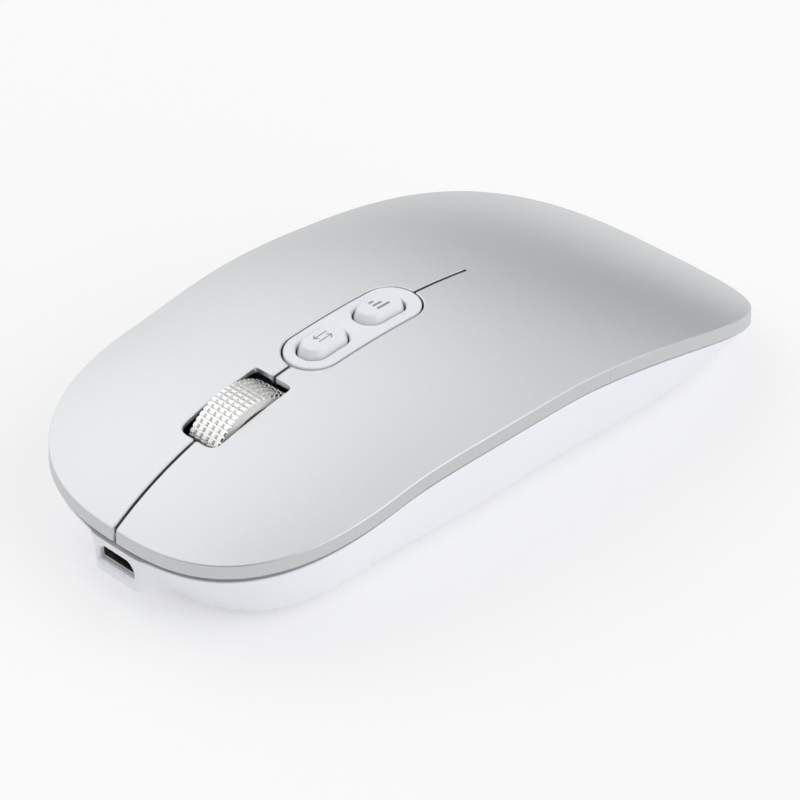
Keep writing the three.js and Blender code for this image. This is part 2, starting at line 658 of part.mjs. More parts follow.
// ---- Power switch under the main board ----
function addPowerSwitch() {
  const low = BASE_Z + FLOOR_WALL + GAP;
  const body = block(8, 4.4, low, BOARD.bottom - GAP, POWER.x, POWER.y);
  addPiece("power_switch", cut(body, block(5.4, 2, 0, low + 0.6, POWER.x, POWER.y)), steel);
  const x = POWER.x - POWER.travel / 2;
  addPiece("power_slider", block(2.4, 1.6, 0.6, low + 0.3, x, POWER.y), black);
}

// ---- Radio receiver stored in the underside ----
function addReceiver() {
  const { y, width, depth, top } = RECEIVER;
  const cap = joined(
    block(width, depth, 1, top, 0, y),
    block(10, 1.2, top - 0.1, top + 9, 0, y - 0.9),
  );
  addPiece("receiver_cap", cap, black);
  const low = top + GAP;
  const shell = cut(
    block(12, 4.5, low, low + 11.5, 0, y),
    block(11.3, 3.8, low - 1, low + 12.5, 0, y),
  );
  addPiece("receiver_plug", shell, steel);
  const contacts = block(8, 0.3, top + GAP, top + 7, 0, y + 0.1);
  addPiece("receiver_contacts", contacts, gold);
}

// ---- Screws ----
function screw(x, y, headZ, tipZ, headRadius, radius, under) {
  const drive = joined(
    block(headRadius * 1.2, 0.4, headZ - 1, headZ + 0.5, x, y),
    block(0.4, headRadius * 1.2, headZ - 1, headZ + 0.5, x, y),
  );
  const head = upright(headRadius, headZ, headZ + 1, x, y, 18);
  const solid = cut(joined(head, upright(radius, headZ + 0.5, tipZ, x, y, 12)), drive);
  return under ? solid.mirror([0, 0, 1]).translate([0, 0, under]) : solid;
}

function addScrews() {
  CASE_SCREWS.forEach(([x, y], i) => {
    const headZ = y > BATTERY.front ? 2.1 : 2.5;
    addPiece("case_screw_" + (i + 1), screw(x, y, headZ, 10, 1.9, 0.75), steel);
  });
  const boardHead = BOARD.top + GAP + 1;
  BOARD_SCREWS.forEach(([x, y], i) => {
    const solid = screw(x, y, 0, boardHead - 2.8, 1.7, 0.6, boardHead);
    addPiece("board_screw_" + (i + 1), solid, steel);
  });
}

addLowerShell();
addCover();
addFeet();
addBezel();
BUTTONS.forEach(([name, place]) => addTopButton(name, place));
addButtonBoard();
addWheel();
addCradle();
addMainBoard();
addClickSwitches();
addUsbPort();
addBattery();
addPowerSwitch();
addReceiver();
addScrews();

export default mouse;
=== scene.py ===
"""The looks of a slim rechargeable wireless mouse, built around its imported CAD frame.

Shapes are worked out in millimetres in the part's frame (+Z up, nose towards -Y, left button on +X), and
turned into metres when a mesh is made. The body's shape comes from the same few formulas as the CAD part.
"""
import json
import math

import bmesh
import bpy
import numpy as np
from mathutils import Matrix, Vector, geometry


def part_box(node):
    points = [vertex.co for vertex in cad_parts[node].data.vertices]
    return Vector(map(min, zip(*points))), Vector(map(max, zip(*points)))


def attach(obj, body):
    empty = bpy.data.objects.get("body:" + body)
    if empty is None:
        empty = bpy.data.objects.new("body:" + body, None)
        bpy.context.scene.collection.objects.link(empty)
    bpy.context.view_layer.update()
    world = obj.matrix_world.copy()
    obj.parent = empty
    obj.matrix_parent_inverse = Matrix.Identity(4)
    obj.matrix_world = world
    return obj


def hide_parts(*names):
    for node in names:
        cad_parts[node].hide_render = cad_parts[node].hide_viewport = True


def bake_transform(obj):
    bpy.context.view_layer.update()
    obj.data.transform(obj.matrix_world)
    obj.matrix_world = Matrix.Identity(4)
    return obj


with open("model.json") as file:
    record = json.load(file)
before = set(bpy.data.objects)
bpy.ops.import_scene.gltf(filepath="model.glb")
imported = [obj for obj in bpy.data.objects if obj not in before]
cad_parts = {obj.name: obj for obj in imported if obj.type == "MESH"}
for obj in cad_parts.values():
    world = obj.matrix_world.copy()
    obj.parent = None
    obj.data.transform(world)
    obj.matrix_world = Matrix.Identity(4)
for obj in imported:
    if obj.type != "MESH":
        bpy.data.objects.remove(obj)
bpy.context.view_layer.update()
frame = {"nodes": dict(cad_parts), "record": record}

MM = 0.001
MIRROR = np.array([-1, 1])

# ---- The body's shape, in millimetres ----
LENGTH = 114.5
WIDTH = 56.0
HALF = LENGTH / 2
NOSE = {"centre": -29.35, "width": 27.0, "power": 2.55}
TAIL = {"centre": 7.05, "width": 27.8, "power": 3.37}
RIM = {"top": 20.4, "apex": -5.9, "fall": 0.0035, "skew": 6e-6}
CROWN = {"height": 3.86, "apex": -10.45, "nose_power": 5.2, "tail_power": 2.4, "across_power": 2.3}
BAND = {"nose": 2.0, "tail": 2.37}  # height of the silver edge
STEP = {"nose": 0.85, "tail": 0.35}  # gap between the silver edge and the white shell
BASE_INSET = {"nose": 6.2, "middle": 7.9, "tail": 5.0}
BASE_Z = 0.8
FLOOR_TOP = 2.4
COVER_WALL = 1.3
SEAM = 0.46
HINGE_Y = 10.2
HINGE_Z = 21.0  # the relief starts here, just above the hinge axis, and goes down
HINGE_RELIEF = 0.012  # how far the key's rear edge leans away, per unit of depth
HINGE_SNAP = 0.002  # how close to HINGE_Y a point of that edge lies
CREASE_RADIUS = 0.28
CUT_RADIUS = 0.2  # rounded edges of the seams and openings
BAND_LEAN = 0.04  # how far the silver edge leans in, per unit of height
OUTLINE_STEP = 0.6

# ---- Openings in the cover ----
SLOT_SIDE_GAP = 0.35
SLOT_FRONT_INSET = 0.2  # how far the slot's ends cover the wheel
SLOT_REAR_INSET = 3.6
SLOT_CORNERS = {"front": 1.9, "rear": 0.9}
SLOT_WALL = 0.85  # the cover is thinner round the wheel
SLOT_SNAP = 0.05  # a point this close to the slot belongs to its edge
OUTLINE_SNAP = 0.25  # a point this close to the body's outline lies on it
SOFT_CORNER = 0.3
PILL_GAP = 0.29


def mm_box(node):
    """Lowest and highest corner of a CAD node, in millimetres."""
    low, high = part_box(node)
    return np.array(low) / MM, np.array(high) / MM


def mm_centre(node):
    low, high = mm_box(node)
    return (low + high) / 2


# ---- Shape formulas ----

def half_width(y):
    """Half of the body's width at y."""
    y = np.asarray(y, float)
    nose_reach = HALF + NOSE["centre"]
    tail_reach = HALF - TAIL["centre"]
    nose_share = np.clip((NOSE["centre"] - y) / nose_reach, 0, 1)
    tail_share = np.clip((y - TAIL["centre"]) / tail_reach, 0, 1)
    share = np.clip((y - NOSE["centre"]) / (TAIL["centre"] - NOSE["centre"]), 0, 1)
    eased = share * share * (3 - 2 * share)
    bow = WIDTH / 2 - (NOSE["width"] + TAIL["width"]) / 2
    side = NOSE["width"] + (TAIL["width"] - NOSE["width"]) * eased + bow * 16 * (share * (1 - share)) ** 2
    nose = NOSE["width"] * (1 - nose_share ** NOSE["power"]) ** (1 / NOSE["power"])
    tail = TAIL["width"] * (1 - tail_share ** TAIL["power"]) ** (1 / TAIL["power"])
    return np.where(y < NOSE["centre"], nose, np.where(y > TAIL["centre"], tail, side))


def half_outline(count=3000):
    """Points of the outline from the nose to the tail on the +X side, finely spaced."""
    angle = np.linspace(0, math.pi / 2, count)
    nose_x = NOSE["width"] * np.sin(angle) ** (2 / NOSE["power"])
    nose_y = NOSE["centre"] - (HALF + NOSE["centre"]) * np.cos(angle) ** (2 / NOSE["power"])
    tail_x = TAIL["width"] * np.cos(angle) ** (2 / TAIL["power"])
    tail_y = TAIL["centre"] + (HALF - TAIL["centre"]) * np.sin(angle) ** (2 / TAIL["power"])
    side_y = np.linspace(NOSE["centre"], TAIL["centre"], count)[1:-1]
    xs = np.concatenate([nose_x, half_width(side_y), tail_x])
    ys = np.concatenate([nose_y, side_y, tail_y])
    return np.stack([xs, ys], 1)


def rim_z(y):
    d = np.asarray(y, float) - RIM["apex"]
    return RIM["top"] - RIM["fall"] * d ** 2 - RIM["skew"] * d ** 3


def crown_z(y):
    y = np.asarray(y, float)
    to_nose = np.clip((CROWN["apex"] - y) / (HALF + CROWN["apex"]), 0, 1) ** CROWN["nose_power"]
    to_tail = np.clip((y - CROWN["apex"]) / (HALF - CROWN["apex"]), 0, 1) ** CROWN["tail_power"]
    return CROWN["height"] * (1 - to_nose - to_tail)


def top_z(x, y):
    """Height of the cover's outer surface."""
    share = np.clip(np.abs(x) / np.maximum(half_width(y), 1e-6), 0, 1)
    return rim_z(y) + crown_z(y) * (1 - share ** CROWN["across_power"])


def nose_share(y):
    return (HALF - np.asarray(y, float)) / LENGTH


def band_z(y):
    """Lower edge of the silver band."""
    return rim_z(y) - BAND["tail"] - (BAND["nose"] - BAND["tail"]) * nose_share(y)


def shoulder_z(y):
    """Upper edge of the white shell."""
    return band_z(y) - STEP["tail"] - (STEP["nose"] - STEP["tail"]) * nose_share(y)


def base_inset(y):
    s = nose_share(y)
    ends = BASE_INSET["nose"] * s * (2 * s - 1) + BASE_INSET["tail"] * (1 - s) * (1 - 2 * s)
    return ends + 4 * BASE_INSET["middle"] * s * (1 - s)


# ---- Outlines in plan ----

def path_lengths(points):
    """Length along a polyline up to each of its points."""
    return np.concatenate([[0], np.cumsum(np.linalg.norm(np.diff(points, axis=0), axis=1))])


def points_at(points, places):
    """Points at the given lengths along a polyline."""
    lengths = path_lengths(points)
    return np.stack([np.interp(places, lengths, points[:, k]) for k in range(2)], 1)


def resample(points, step):
    """Points evenly spaced along a polyline, its ends kept."""
    points = np.asarray(points, float)
    end = path_lengths(points)[-1]
    return points_at(points, np.linspace(0, end, max(1, int(round(end / step))) + 1))


def trimmed(points, start, end):
    """A polyline with a length taken off at each end."""
    lengths = path_lengths(points)
    low, high = start, lengths[-1] - end
    inside = (lengths > low + 1e-6) & (lengths < high - 1e-6)
    return points_at(points, np.concatenate([[low], lengths[inside], [high]]))


def arc(centre, radius, start, end, steps=12):
    angles = np.radians(np.linspace(start, end, steps + 1))
    return np.stack([centre[0] + radius * np.cos(angles), centre[1] + radius * np.sin(angles)], 1)


def chain(pieces, step=OUTLINE_STEP, corner_steps=6):
    """A closed outline from end-to-end pieces (points, weight, radius of the corner at its end).

    A piece of weight 0 is a cut line that gets no rounded edge, and keeps its points as they are.
    Returns the points, and for each point the weight of the edge that leaves it.
    """
    points, weights = [], []
    count = len(pieces)
    for i, (line, weight, end_radius) in enumerate(pieces):
        start_radius = pieces[i - 1][2]
        line = np.asarray(line, float)
        if weight:
            line = resample(trimmed(line, start_radius, end_radius), step)
        points.extend(line[:-1])
        weights.extend([weight] * (len(line) - 1))
        if end_radius:
            corner = np.asarray(pieces[i][0][-1], float)
            after = trimmed(np.asarray(pieces[(i + 1) % count][0], float), end_radius, 0)[0]
            t = np.linspace(0, 1, corner_steps + 1)[:-1, None]
            bend = (1 - t) ** 2 * line[-1] + 2 * t * (1 - t) * corner + t ** 2 * after
            points.extend(bend)
            weights.extend([1] * corner_steps)
    return np.array(points), np.array(weights, float)


def inward_moves(points, weights):
    """For each point of a counter-clockwise outline, its move when every edge goes inwards by its weight."""
    edges = np.roll(points, -1, 0) - points
    edges /= np.maximum(np.linalg.norm(edges, axis=1), 1e-9)[:, None]
    after = np.stack([-edges[:, 1], edges[:, 0]], 1)
    before = np.roll(after, 1, 0)
    w_after, w_before = weights, np.roll(weights, 1)
    det = before[:, 0] * after[:, 1] - before[:, 1] * after[:, 0]
    safe = np.where(np.abs(det) < 0.2, 1, det)
    exact = np.stack([
        (w_before * after[:, 1] - w_after * before[:, 1]) / safe,
        (w_after * before[:, 0] - w_before * after[:, 0]) / safe,
    ], 1)
    middle = before + after
    middle /= np.maximum(np.linalg.norm(middle, axis=1), 1e-9)[:, None]
    middle *= ((w_before + w_after) / 2)[:, None]
    return np.where((np.abs(det) < 0.2)[:, None], middle, exact)


def rounded_box(x_reach, y0, y1, radius, cut=0.0, step=0.4):
    """A counter-clockwise rectangle about x = 0 with rounded corners, or with rounded cut-off corners."""
    corners = [(x_reach, y0), (x_reach, y1), (-x_reach, y1), (-x_reach, y0)]
    if cut:
        corners = [(x_reach, y0 + cut), (x_reach, y1 - cut), (x_reach - cut, y1), (cut - x_reach, y1),
                   (-x_reach, y1 - cut), (-x_reach, y0 + cut), (cut - x_reach, y0), (x_reach - cut, y0)]
    pairs = zip(corners, corners[1:] + corners[:1])
    return chain([([a, b], 1, radius) for a, b in pairs], step)[0]


def box_outline(node, side, end, corner, **more):
    """The rounded outline of a CAD node in plan, grown at its sides and its ends."""
    low, high = mm_box(node)
    return rounded_box(high[0] + side, low[1] - end, high[1] + end, corner, **more)


def stadium(x_reach, y0, y1, steps=28):
    """A counter-clockwise outline with half-circle ends."""
    rear = arc((0, y1 - x_reach), x_reach, 0, 180, steps)
    front = arc((0, y0 + x_reach), x_reach, 180, 360, steps)
    return resample(np.concatenate([front, rear, front[:1]]), 0.4)[:-1]


# ---- Meshes ----

def inside(points, loops):
    """Which points lie inside the loops, by the even-odd rule."""
    result = np.zeros(len(points), bool)
    px, py = points[:, 0][:, None], points[:, 1][:, None]
    for loop in loops:
        ax, ay = loop[:, 0], loop[:, 1]
        bx, by = np.roll(ax, -1), np.roll(ay, -1)
        crosses = (ay > py) != (by > py)
        at = ax + (py - ay) * (bx - ax) / np.where(by == ay, 1, by - ay)
        result ^= (np.sum(crosses & (px < at), axis=1) % 2).astype(bool)
    return result


class Builder:
    """Collects rings of points, strips between them, and filled regions, into one mesh."""

    def __init__(self):
        self.points = []
        self.faces = []

    def ring(self, xy, z):
        z = np.broadcast_to(z, (len(xy),))
        return self.section((float(p[0]), float(p[1]), float(h)) for p, h in zip(xy, z))

    def section(self, points):
        """Adds points in space as one ring."""
        first = len(self.points)
        self.points.extend(points)
        return list(range(first, len(self.points)))

    def strips(self, rings):
        for a, b in zip(rings, rings[1:]):
            self.strip(a, b)

    def strip(self, a, b):
        """Faces between two rings of as many points, on the outer side when a is above b."""
        count = len(a)
        for i in range(count):
            j = (i + 1) % count
            self.faces.append((a[i], b[i], b[j], a[j]))

    def fill(self, rings, height, spacing, up=True):
        """Triangles over the region between rings, with inner points on the surface height(x, y)."""
        loops = [np.array([self.points[i][:2] for i in ring]) for ring in rings]
        border = np.concatenate(loops)
        low, high = border.min(0), border.max(0)
        rows = np.arange(low[1], high[1], spacing * 0.866)
        grid = np.array([(x + (k % 2) * spacing / 2, y) for k, y in enumerate(rows)
                         for x in np.arange(low[0], high[0], spacing)])
        grid = grid[inside(grid, loops)]
        for start in range(0, len(border), 200):
            near = border[start:start + 200]
            apart = np.linalg.norm(grid[:, None] - near[None], axis=2).min(1)
            grid = grid[apart > spacing * 0.6]
        edges, offset = [], 0
        for loop in loops:
            count = len(loop)
            edges += [(offset + i, offset + (i + 1) % count) for i in range(count)]
            offset += count
        flat = [Vector(p) for p in np.concatenate([border, grid])]
        found = geometry.delaunay_2d_cdt(flat, edges, [], 0, 1e-5)
        out, triangles, origins = found[0], found[2], found[3]
        known = [i for ring in rings for i in ring]
        names = []
        for p, origin in zip(out, origins):
            if origin and origin[0] < len(known):
                names.append(known[origin[0]])
            else:
                names.append(len(self.points))
                self.points.append((p[0], p[1], float(height(p[0], p[1]))))
        flat_out = np.array([tuple(p) for p in out])
        middles = np.array([flat_out[list(t)].mean(0) for t in triangles])
        keep = inside(middles, loops)
        for t, kept in zip(triangles, keep):
            if kept:
                face = tuple(names[i] for i in t)
                self.faces.append(face if up else face[::-1])

    def bare_object(self, name):
        """The mesh as an object, with its faces turned outwards."""
        mesh = bpy.data.meshes.new(name)
        mesh.from_pydata([(x * MM, y * MM, z * MM) for x, y, z in self.points], [], self.faces)
        work = bmesh.new()
        work.from_mesh(mesh)
        bmesh.ops.remove_doubles(work, verts=work.verts, dist=2e-6)
        bmesh.ops.dissolve_degenerate(work, dist=1e-7, edges=work.edges)
        bmesh.ops.recalc_face_normals(work, faces=work.faces)
        work.to_mesh(mesh)
        work.free()
        obj = bpy.data.objects.new(name, mesh)
        bpy.context.scene.collection.objects.link(obj)
        return obj

    def mesh_object(self, name, material, sharp=35):
        obj = self.bare_object(name)
        finish_mesh(obj, material, sharp)
        return obj


def finish_mesh(obj, material, sharp=35):
    """Smooth shading with sharp edges kept, and normals that follow the large faces."""
    mesh = obj.data
    mesh.materials.clear()
    mesh.materials.append(material)
    mesh.polygons.foreach_set("use_smooth", [True] * len(mesh.polygons))
    mesh.set_sharp_from_angle(angle=math.radians(sharp))
    weighted = obj.modifiers.new("even_normals", "WEIGHTED_NORMAL")
    weighted.keep_sharp = True


SLOPE_REACH = 0.25  # how far inside the edge the surface's slope is measured
EDGE_SUPPORT = 0.12  # flat strip beside a rounded edge


def edge_rings(builder, loop, moves, top, bottom, radius, low_radius, lean=0.0, steps=5):
    """Rings from the top surface over a rounded edge, down the wall and under it.

    top(x, y) is the surface. bottom, radius and lean can hold a value for each point: the wall's lower z, the
    edge's radius, and how far the wall leans in per unit of height. Returns the first and last ring.
    """
    size = np.linalg.norm(moves, axis=1)
    rounded = size > 1e-6
    unit = moves / np.maximum(size, 1e-6)[:, None]
    reach = loop + unit * SLOPE_REACH
    slope = np.arctan2(top(reach[:, 0], reach[:, 1]) - top(loop[:, 0], loop[:, 1]), SLOPE_REACH)
    r = np.where(rounded, radius, 0.0)
    lean_angle = np.where(rounded, np.arctan(lean), 0.0)
    wall = math.pi / 2 - lean_angle
    height = top(loop[:, 0], loop[:, 1]) - bottom
    inset = height * np.tan(lean_angle)
    tangent = inset + r * (np.sin(wall) - np.sin(slope))
    crease = loop + moves * tangent[:, None]
    centre_z = top(crease[:, 0], crease[:, 1]) - r * np.cos(slope)
    support = crease + moves * EDGE_SUPPORT
    rings = [builder.ring(support, top(support[:, 0], support[:, 1]))]
    for k in range(steps + 1):
        angle = slope + (wall - slope) * k / steps
        place = loop + moves * (inset + r * (np.sin(wall) - np.sin(angle)))[:, None]
        rings.append(builder.ring(place, centre_z + r * np.cos(angle)))
    low = np.where(rounded, low_radius, 0.0)
    for angle in np.linspace(0, math.pi / 2, 4):
        place = loop + moves * (low * (1 - math.cos(angle)))[:, None]
        rings.append(builder.ring(place, bottom + low * (1 - math.sin(angle))))
    builder.strips(rings)
    return rings[0], rings[-1]


def plate(name, outlines, top, under, material, radius, low_radius=0.08, spacing=1.1, low_spacing=2.2,
          bottom=None, lean=0.0):
    """A closed plate: a surface over a region in plan, rounded edges, walls, and an underside.

    outlines is a list of (points, weights); the first is the rim, counter-clockwise, and holes run clockwise.
    radius and lean are numbers or functions of the outline's points, and bottom is such a function.
    """
    builder = Builder()
    upper, lower = [], []
    for k, (loop, weights) in enumerate(outlines):
        moves = inward_moves(loop, weights)
        low = bottom(loop) if bottom else under(loop[:, 0], loop[:, 1])
        round_by = radius(loop) if callable(radius) else radius
        lean_by = lean(loop) if callable(lean) else (lean if k == 0 else 0.0)
        first, last = edge_rings(builder, loop, moves, top, low, round_by, low_radius, lean_by)
        upper.append(first)
        lower.append(last)
    builder.fill(upper, top, spacing)
    builder.fill(lower, under, low_spacing, up=False)
    return builder.mesh_object(name, material)


def level(z):
    """A flat surface at height z."""
    return lambda x, y: np.zeros(np.shape(x)) + z


def whole(loop):
    """An outline whose edges are all rounded."""
    return loop, np.ones(len(loop))


def hole(loop):
    """The outline of a hole, which runs clockwise."""
    return whole(loop[::-1].copy())


# ---- Materials ----

def node_material(name, color, roughness, metallic=0.0, **sockets):
    """A Principled material with its constants on the shader's own sockets."""
    material = bpy.data.materials.new(name)
    material.use_nodes = True
    shader = material.node_tree.nodes["Principled BSDF"]
    shader.inputs["Base Color"].default_value = (*color, 1)
    shader.inputs["Roughness"].default_value = roughness
    shader.inputs["Metallic"].default_value = metallic
    for socket, value in sockets.items():
        shader.inputs[socket.replace("_", " ")].default_value = value
    return material


def map_range(tree, value, start, end, low, high, smooth=False):
    """Turns a value's run from start to end into a run from low to high."""
    node = tree.nodes.new("ShaderNodeMapRange")
    if smooth:
        node.interpolation_type = "SMOOTHSTEP"
    for socket, number in zip(("From Min", "From Max", "To Min", "To Max"), (start, end, low, high)):
        node.inputs[socket].default_value = number
    tree.links.new(value, node.inputs["Value"])
    return node.outputs["Result"]


def add_grain(material, size_mm, rough_low, rough_high, bump=0.0, tint=0.0, detail=2.0, stretch=None):
    """Fine noise of a real size on roughness, height and, slightly, colour."""
    tree = material.node_tree
    nodes, links = tree.nodes, tree.links
    shader = nodes["Principled BSDF"]
    place = nodes.new("ShaderNodeTexCoord")
    source = place.outputs["Object"]
    if stretch:
        mapping = nodes.new("ShaderNodeMapping")
        mapping.inputs["Scale"].default_value = stretch
        links.new(source, mapping.inputs["Vector"])
        source = mapping.outputs["Vector"]
    noise = nodes.new("ShaderNodeTexNoise")
    noise.inputs["Scale"].default_value = 1 / (size_mm * MM)
    noise.inputs["Detail"].default_value = detail
    links.new(source, noise.inputs["Vector"])
    roughness = map_range(tree, noise.outputs["Fac"], 0.3, 0.7, rough_low, rough_high)
    links.new(roughness, shader.inputs["Roughness"])
    if bump:
        height = nodes.new("ShaderNodeBump")
        height.inputs["Strength"].default_value = 1.0
        height.inputs["Distance"].default_value = bump * MM
        links.new(noise.outputs["Fac"], height.inputs["Height"])
        links.new(height.outputs["Normal"], shader.inputs["Normal"])
    if tint:
        base = list(shader.inputs["Base Color"].default_value)
        mix = nodes.new("ShaderNodeMix")
        mix.data_type = "RGBA"
        mix.inputs["A"].default_value = [c * (1 - tint) for c in base[:3]] + [1]
        mix.inputs["B"].default_value = [min(1, c * (1 + tint)) for c in base[:3]] + [1]
        links.new(noise.outputs["Fac"], mix.inputs["Factor"])
        links.new(mix.outputs["Result"], shader.inputs["Base Color"])
    return material


def paint_wall_shade(material, share):
    """Paints shade into the colour where the surface stands upright, so that the edge reads darker than the
    top: painted shade for the light that falls less on the edge.
    """
    nodes, links = material.node_tree.nodes, material.node_tree.links
    base = nodes["Principled BSDF"].inputs["Base Color"]
    normal = nodes.new("ShaderNodeNewGeometry")
    split = nodes.new("ShaderNodeSeparateXYZ")
    dim = nodes.new("ShaderNodeVectorMath")
    dim.operation = "SCALE"
    links.new(normal.outputs["Normal"], split.inputs[0])
    upright, level_enough = 0.25, 0.6
    # painted shade: the colour falls to share of itself on upright faces
    painted_shade = map_range(material.node_tree, split.outputs["Z"], upright, level_enough, share, 1.0)
    links.new(base.links[0].from_socket, dim.inputs[0])
    links.new(painted_shade, dim.inputs["Scale"])
    links.new(dim.outputs["Vector"], base)


def grained(name, color, roughness, metallic, size, rough_low, rough_high, sockets=None, **grain):
    """A material with fine noise: its grain size in mm, and its lowest and highest roughness."""
    material = node_material(name, color, roughness, metallic, **(sockets or {}))
    return add_grain(material, size, rough_low, rough_high, **grain)


def simple(name, color, roughness, metallic=0.0, size=0.3):
    """A plain material with a fine grain."""
    return grained(name, color, roughness, metallic, size, roughness * 0.85, roughness * 1.15,
                   bump=0.003, tint=0.06)


SILVER = grained("silver_paint", (0.725, 0.742, 0.757), 0.38, 0.85, 0.22, 0.36, 0.44,
                 {"Coat_Weight": 0.15, "Coat_Roughness": 0.3}, bump=0.004, tint=0.05, detail=1.0)
# Painted shade: the silver edge's upright faces are dimmed to 0.8 of the top's colour.
paint_wall_shade(SILVER, 0.8)
WHITE = grained("white_plastic", (0.86, 0.87, 0.92), 0.32, 0, 0.35, 0.28, 0.36,
                {"Specular_IOR_Level": 0.45}, bump=0.0015, tint=0.012)
BLACK = grained("black_plastic", (0.022, 0.022, 0.024), 0.5, 0, 0.2, 0.42, 0.6, bump=0.006, tint=0.1)
CHROME = grained("wheel_metal", (0.86, 0.86, 0.85), 0.24, 1, 0.5, 0.2, 0.3, tint=0.03)
STEEL = grained("bright_steel", (0.62, 0.62, 0.61), 0.3, 1, 0.3, 0.24, 0.4, tint=0.05, stretch=(1, 8, 8))
GLIDE = grained("grey_glide", (0.1, 0.1, 0.105), 0.4, 0, 0.6, 0.34, 0.5, bump=0.004, tint=0.06)
PRINT = grained("print_grey", (0.3, 0.3, 0.31), 0.5, 0, 0.15, 0.45, 0.6, tint=0.08)
BOARD = grained("board_green", (0.02, 0.17, 0.06), 0.35, 0, 1.2, 0.3, 0.42, bump=0.01, tint=0.35, detail=4)
LENS = grained("clear_lens", (0.9, 0.93, 0.95), 0.06, 0, 2, 0.04, 0.08, {"Transmission_Weight": 1.0})
WHEEL_SIDE = simple("wheel_side", (0.72, 0.72, 0.7), 0.42, 0.25)
# Painted shade for the pits where the wheel's grooves cross.
PIT_SHADE = simple("groove_painted_shade", (0.05, 0.05, 0.05), 0.4, 0.5)

SLOT_LOOKS = {
    "silver_paint": SILVER,
    "white_plastic": WHITE,
    "black_plastic": BLACK,
    "wheel_metal": CHROME,
    "steel": STEEL,
    "circuit_board": BOARD,
    "chip_black": simple("chip_black", (0.03, 0.03, 0.032), 0.45),
    "glide": GLIDE,
    "lens_clear": LENS,
    "battery_foil": simple("battery_foil", (0.6, 0.62, 0.66), 0.38, 0.8, 0.8),
    "amber_film": simple("amber_film", (0.62, 0.3, 0.05), 0.3),
    "foam_black": simple("foam_black", (0.03, 0.03, 0.03), 0.9, size=0.15),
    "wire_red": simple("wire_red", (0.5, 0.02, 0.02), 0.45),
    "wire_black": simple("wire_black", (0.02, 0.02, 0.02), 0.45),
    "contact_gold": simple("contact_gold", (0.83, 0.6, 0.22), 0.25, 1.0),
}


def dress_cad_nodes():
    """Gives every CAD node the finish of its material slot."""
    slots = {row["node"]: row["material_slot"] for row in frame["record"]["subparts"]}
    for node, obj in frame["nodes"].items():
        obj.data.materials.clear()
        obj.data.materials.append(SLOT_LOOKS[slots[node]])


# ---- The silver cover ----

def opening_sizes():
    """The wheel slot and the button opening, from the wheel and the bezel."""
    wheel_low, wheel_high = mm_box("wheel_rim")
    bezel_low, bezel_high = mm_box("button_bezel")
    slot = {"reach": wheel_high[0] + SLOT_SIDE_GAP, "front": wheel_low[1] + SLOT_FRONT_INSET,
            "rear": wheel_high[1] - SLOT_REAR_INSET}
    pill = {"reach": bezel_high[0] + PILL_GAP, "front": bezel_low[1] - PILL_GAP,
            "rear": bezel_high[1] + PILL_GAP}
    return slot, pill


def outline_part(y0=None, y1=None, x0=0.0):
    """The +X side's outline from x0 near the nose, or from y0, to y1 or the tail."""
    points = half_outline()
    if y0 is None:
        near_nose = points[:, 1] < 0
        start_y = np.interp(x0, points[near_nose, 0], points[near_nose, 1])
        points = np.concatenate([[[x0, start_y]], points[points[:, 0] > x0]])
    else:
        points = np.concatenate([[[float(half_width(y0)), y0]], points[points[:, 1] > y0]])
    if y1 is not None:
        points = np.concatenate([points[points[:, 1] < y1], [[float(half_width(y1)), y1]]])
    return points


def hinge_line():
    """The line across the cover where the keys bend, from the seam outwards to +X."""
    return resample([[SEAM / 2, HINGE_Y], [float(half_width(HINGE_Y)), HINGE_Y]], OUTLINE_STEP)


def key_outline():
    """Outline of the left key: nose, side, bend line, seam, button opening, seam, wheel slot, seam."""
    slot, pill = opening_sizes()
    s = SEAM / 2
    side, front, rear = slot["reach"], slot["front"], slot["rear"]
    reach = pill["reach"]
    rear_angle = math.degrees(math.acos(s / reach))
    rear_arc = arc((0, pill["rear"] - reach), reach, rear_angle, 0, 24)
    front_arc = arc((0, pill["front"] + reach), reach, 0, -rear_angle, 24)
    opening = np.concatenate([rear_arc, front_arc])
    nose = outline_part(x0=s, y1=HINGE_Y)
    soft = SOFT_CORNER
    pieces = [
        (nose, 1, 0),
        (hinge_line()[::-1], 0, 0),
        ([[s, HINGE_Y], opening[0]], 1, soft),
        (opening, 1, soft),
        ([opening[-1], [s, rear]], 1, soft),
        ([[s, rear], [side, rear]], 1, SLOT_CORNERS["rear"]),
        ([[side, rear], [side, front]], 1, SLOT_CORNERS["front"]),
        ([[side, front], [s, front]], 1, soft),
        ([[s, front], nose[0]], 1, soft),
    ]
    return chain(pieces)


def on_outline(loop):
    """Which points of the cover lie on the body's outline, and not on a seam or an opening."""
    to_side = half_width(loop[:, 1]) - np.abs(loop[:, 0])
    to_end = HALF - np.abs(loop[:, 1])
    return np.minimum(to_side, to_end) < OUTLINE_SNAP


def cover_bottom(loop):
    """Lower z of the cover's walls: the band's edge at the outline, the wall's thickness elsewhere."""
    x, y = np.abs(loop[:, 0]), loop[:, 1]
    slot = opening_sizes()[0]
    front, rear = slot["front"] - SLOT_SNAP, slot["rear"] + SLOT_SNAP
    round_wheel = (x < slot["reach"] + SLOT_SNAP) & (y > front) & (y < rear)
    wall = np.where(round_wheel, SLOT_WALL, COVER_WALL)
    return np.where(on_outline(loop), band_z(y), top_z(x, y) - wall)


def cover_radius(loop):
    return np.where(on_outline(loop), CREASE_RADIUS, CUT_RADIUS)


def cover_lean(loop):
    return np.where(on_outline(loop), BAND_LEAN, 0.0)


def cover_under(x, y):
    return top_z(x, y) - COVER_WALL


def mirrored(loop, weights):
    """An outline mirrored in x = 0, still counter-clockwise."""
    flipped = (loop * MIRROR)[::-1].copy()
    return flipped, np.roll(weights[::-1], -1)


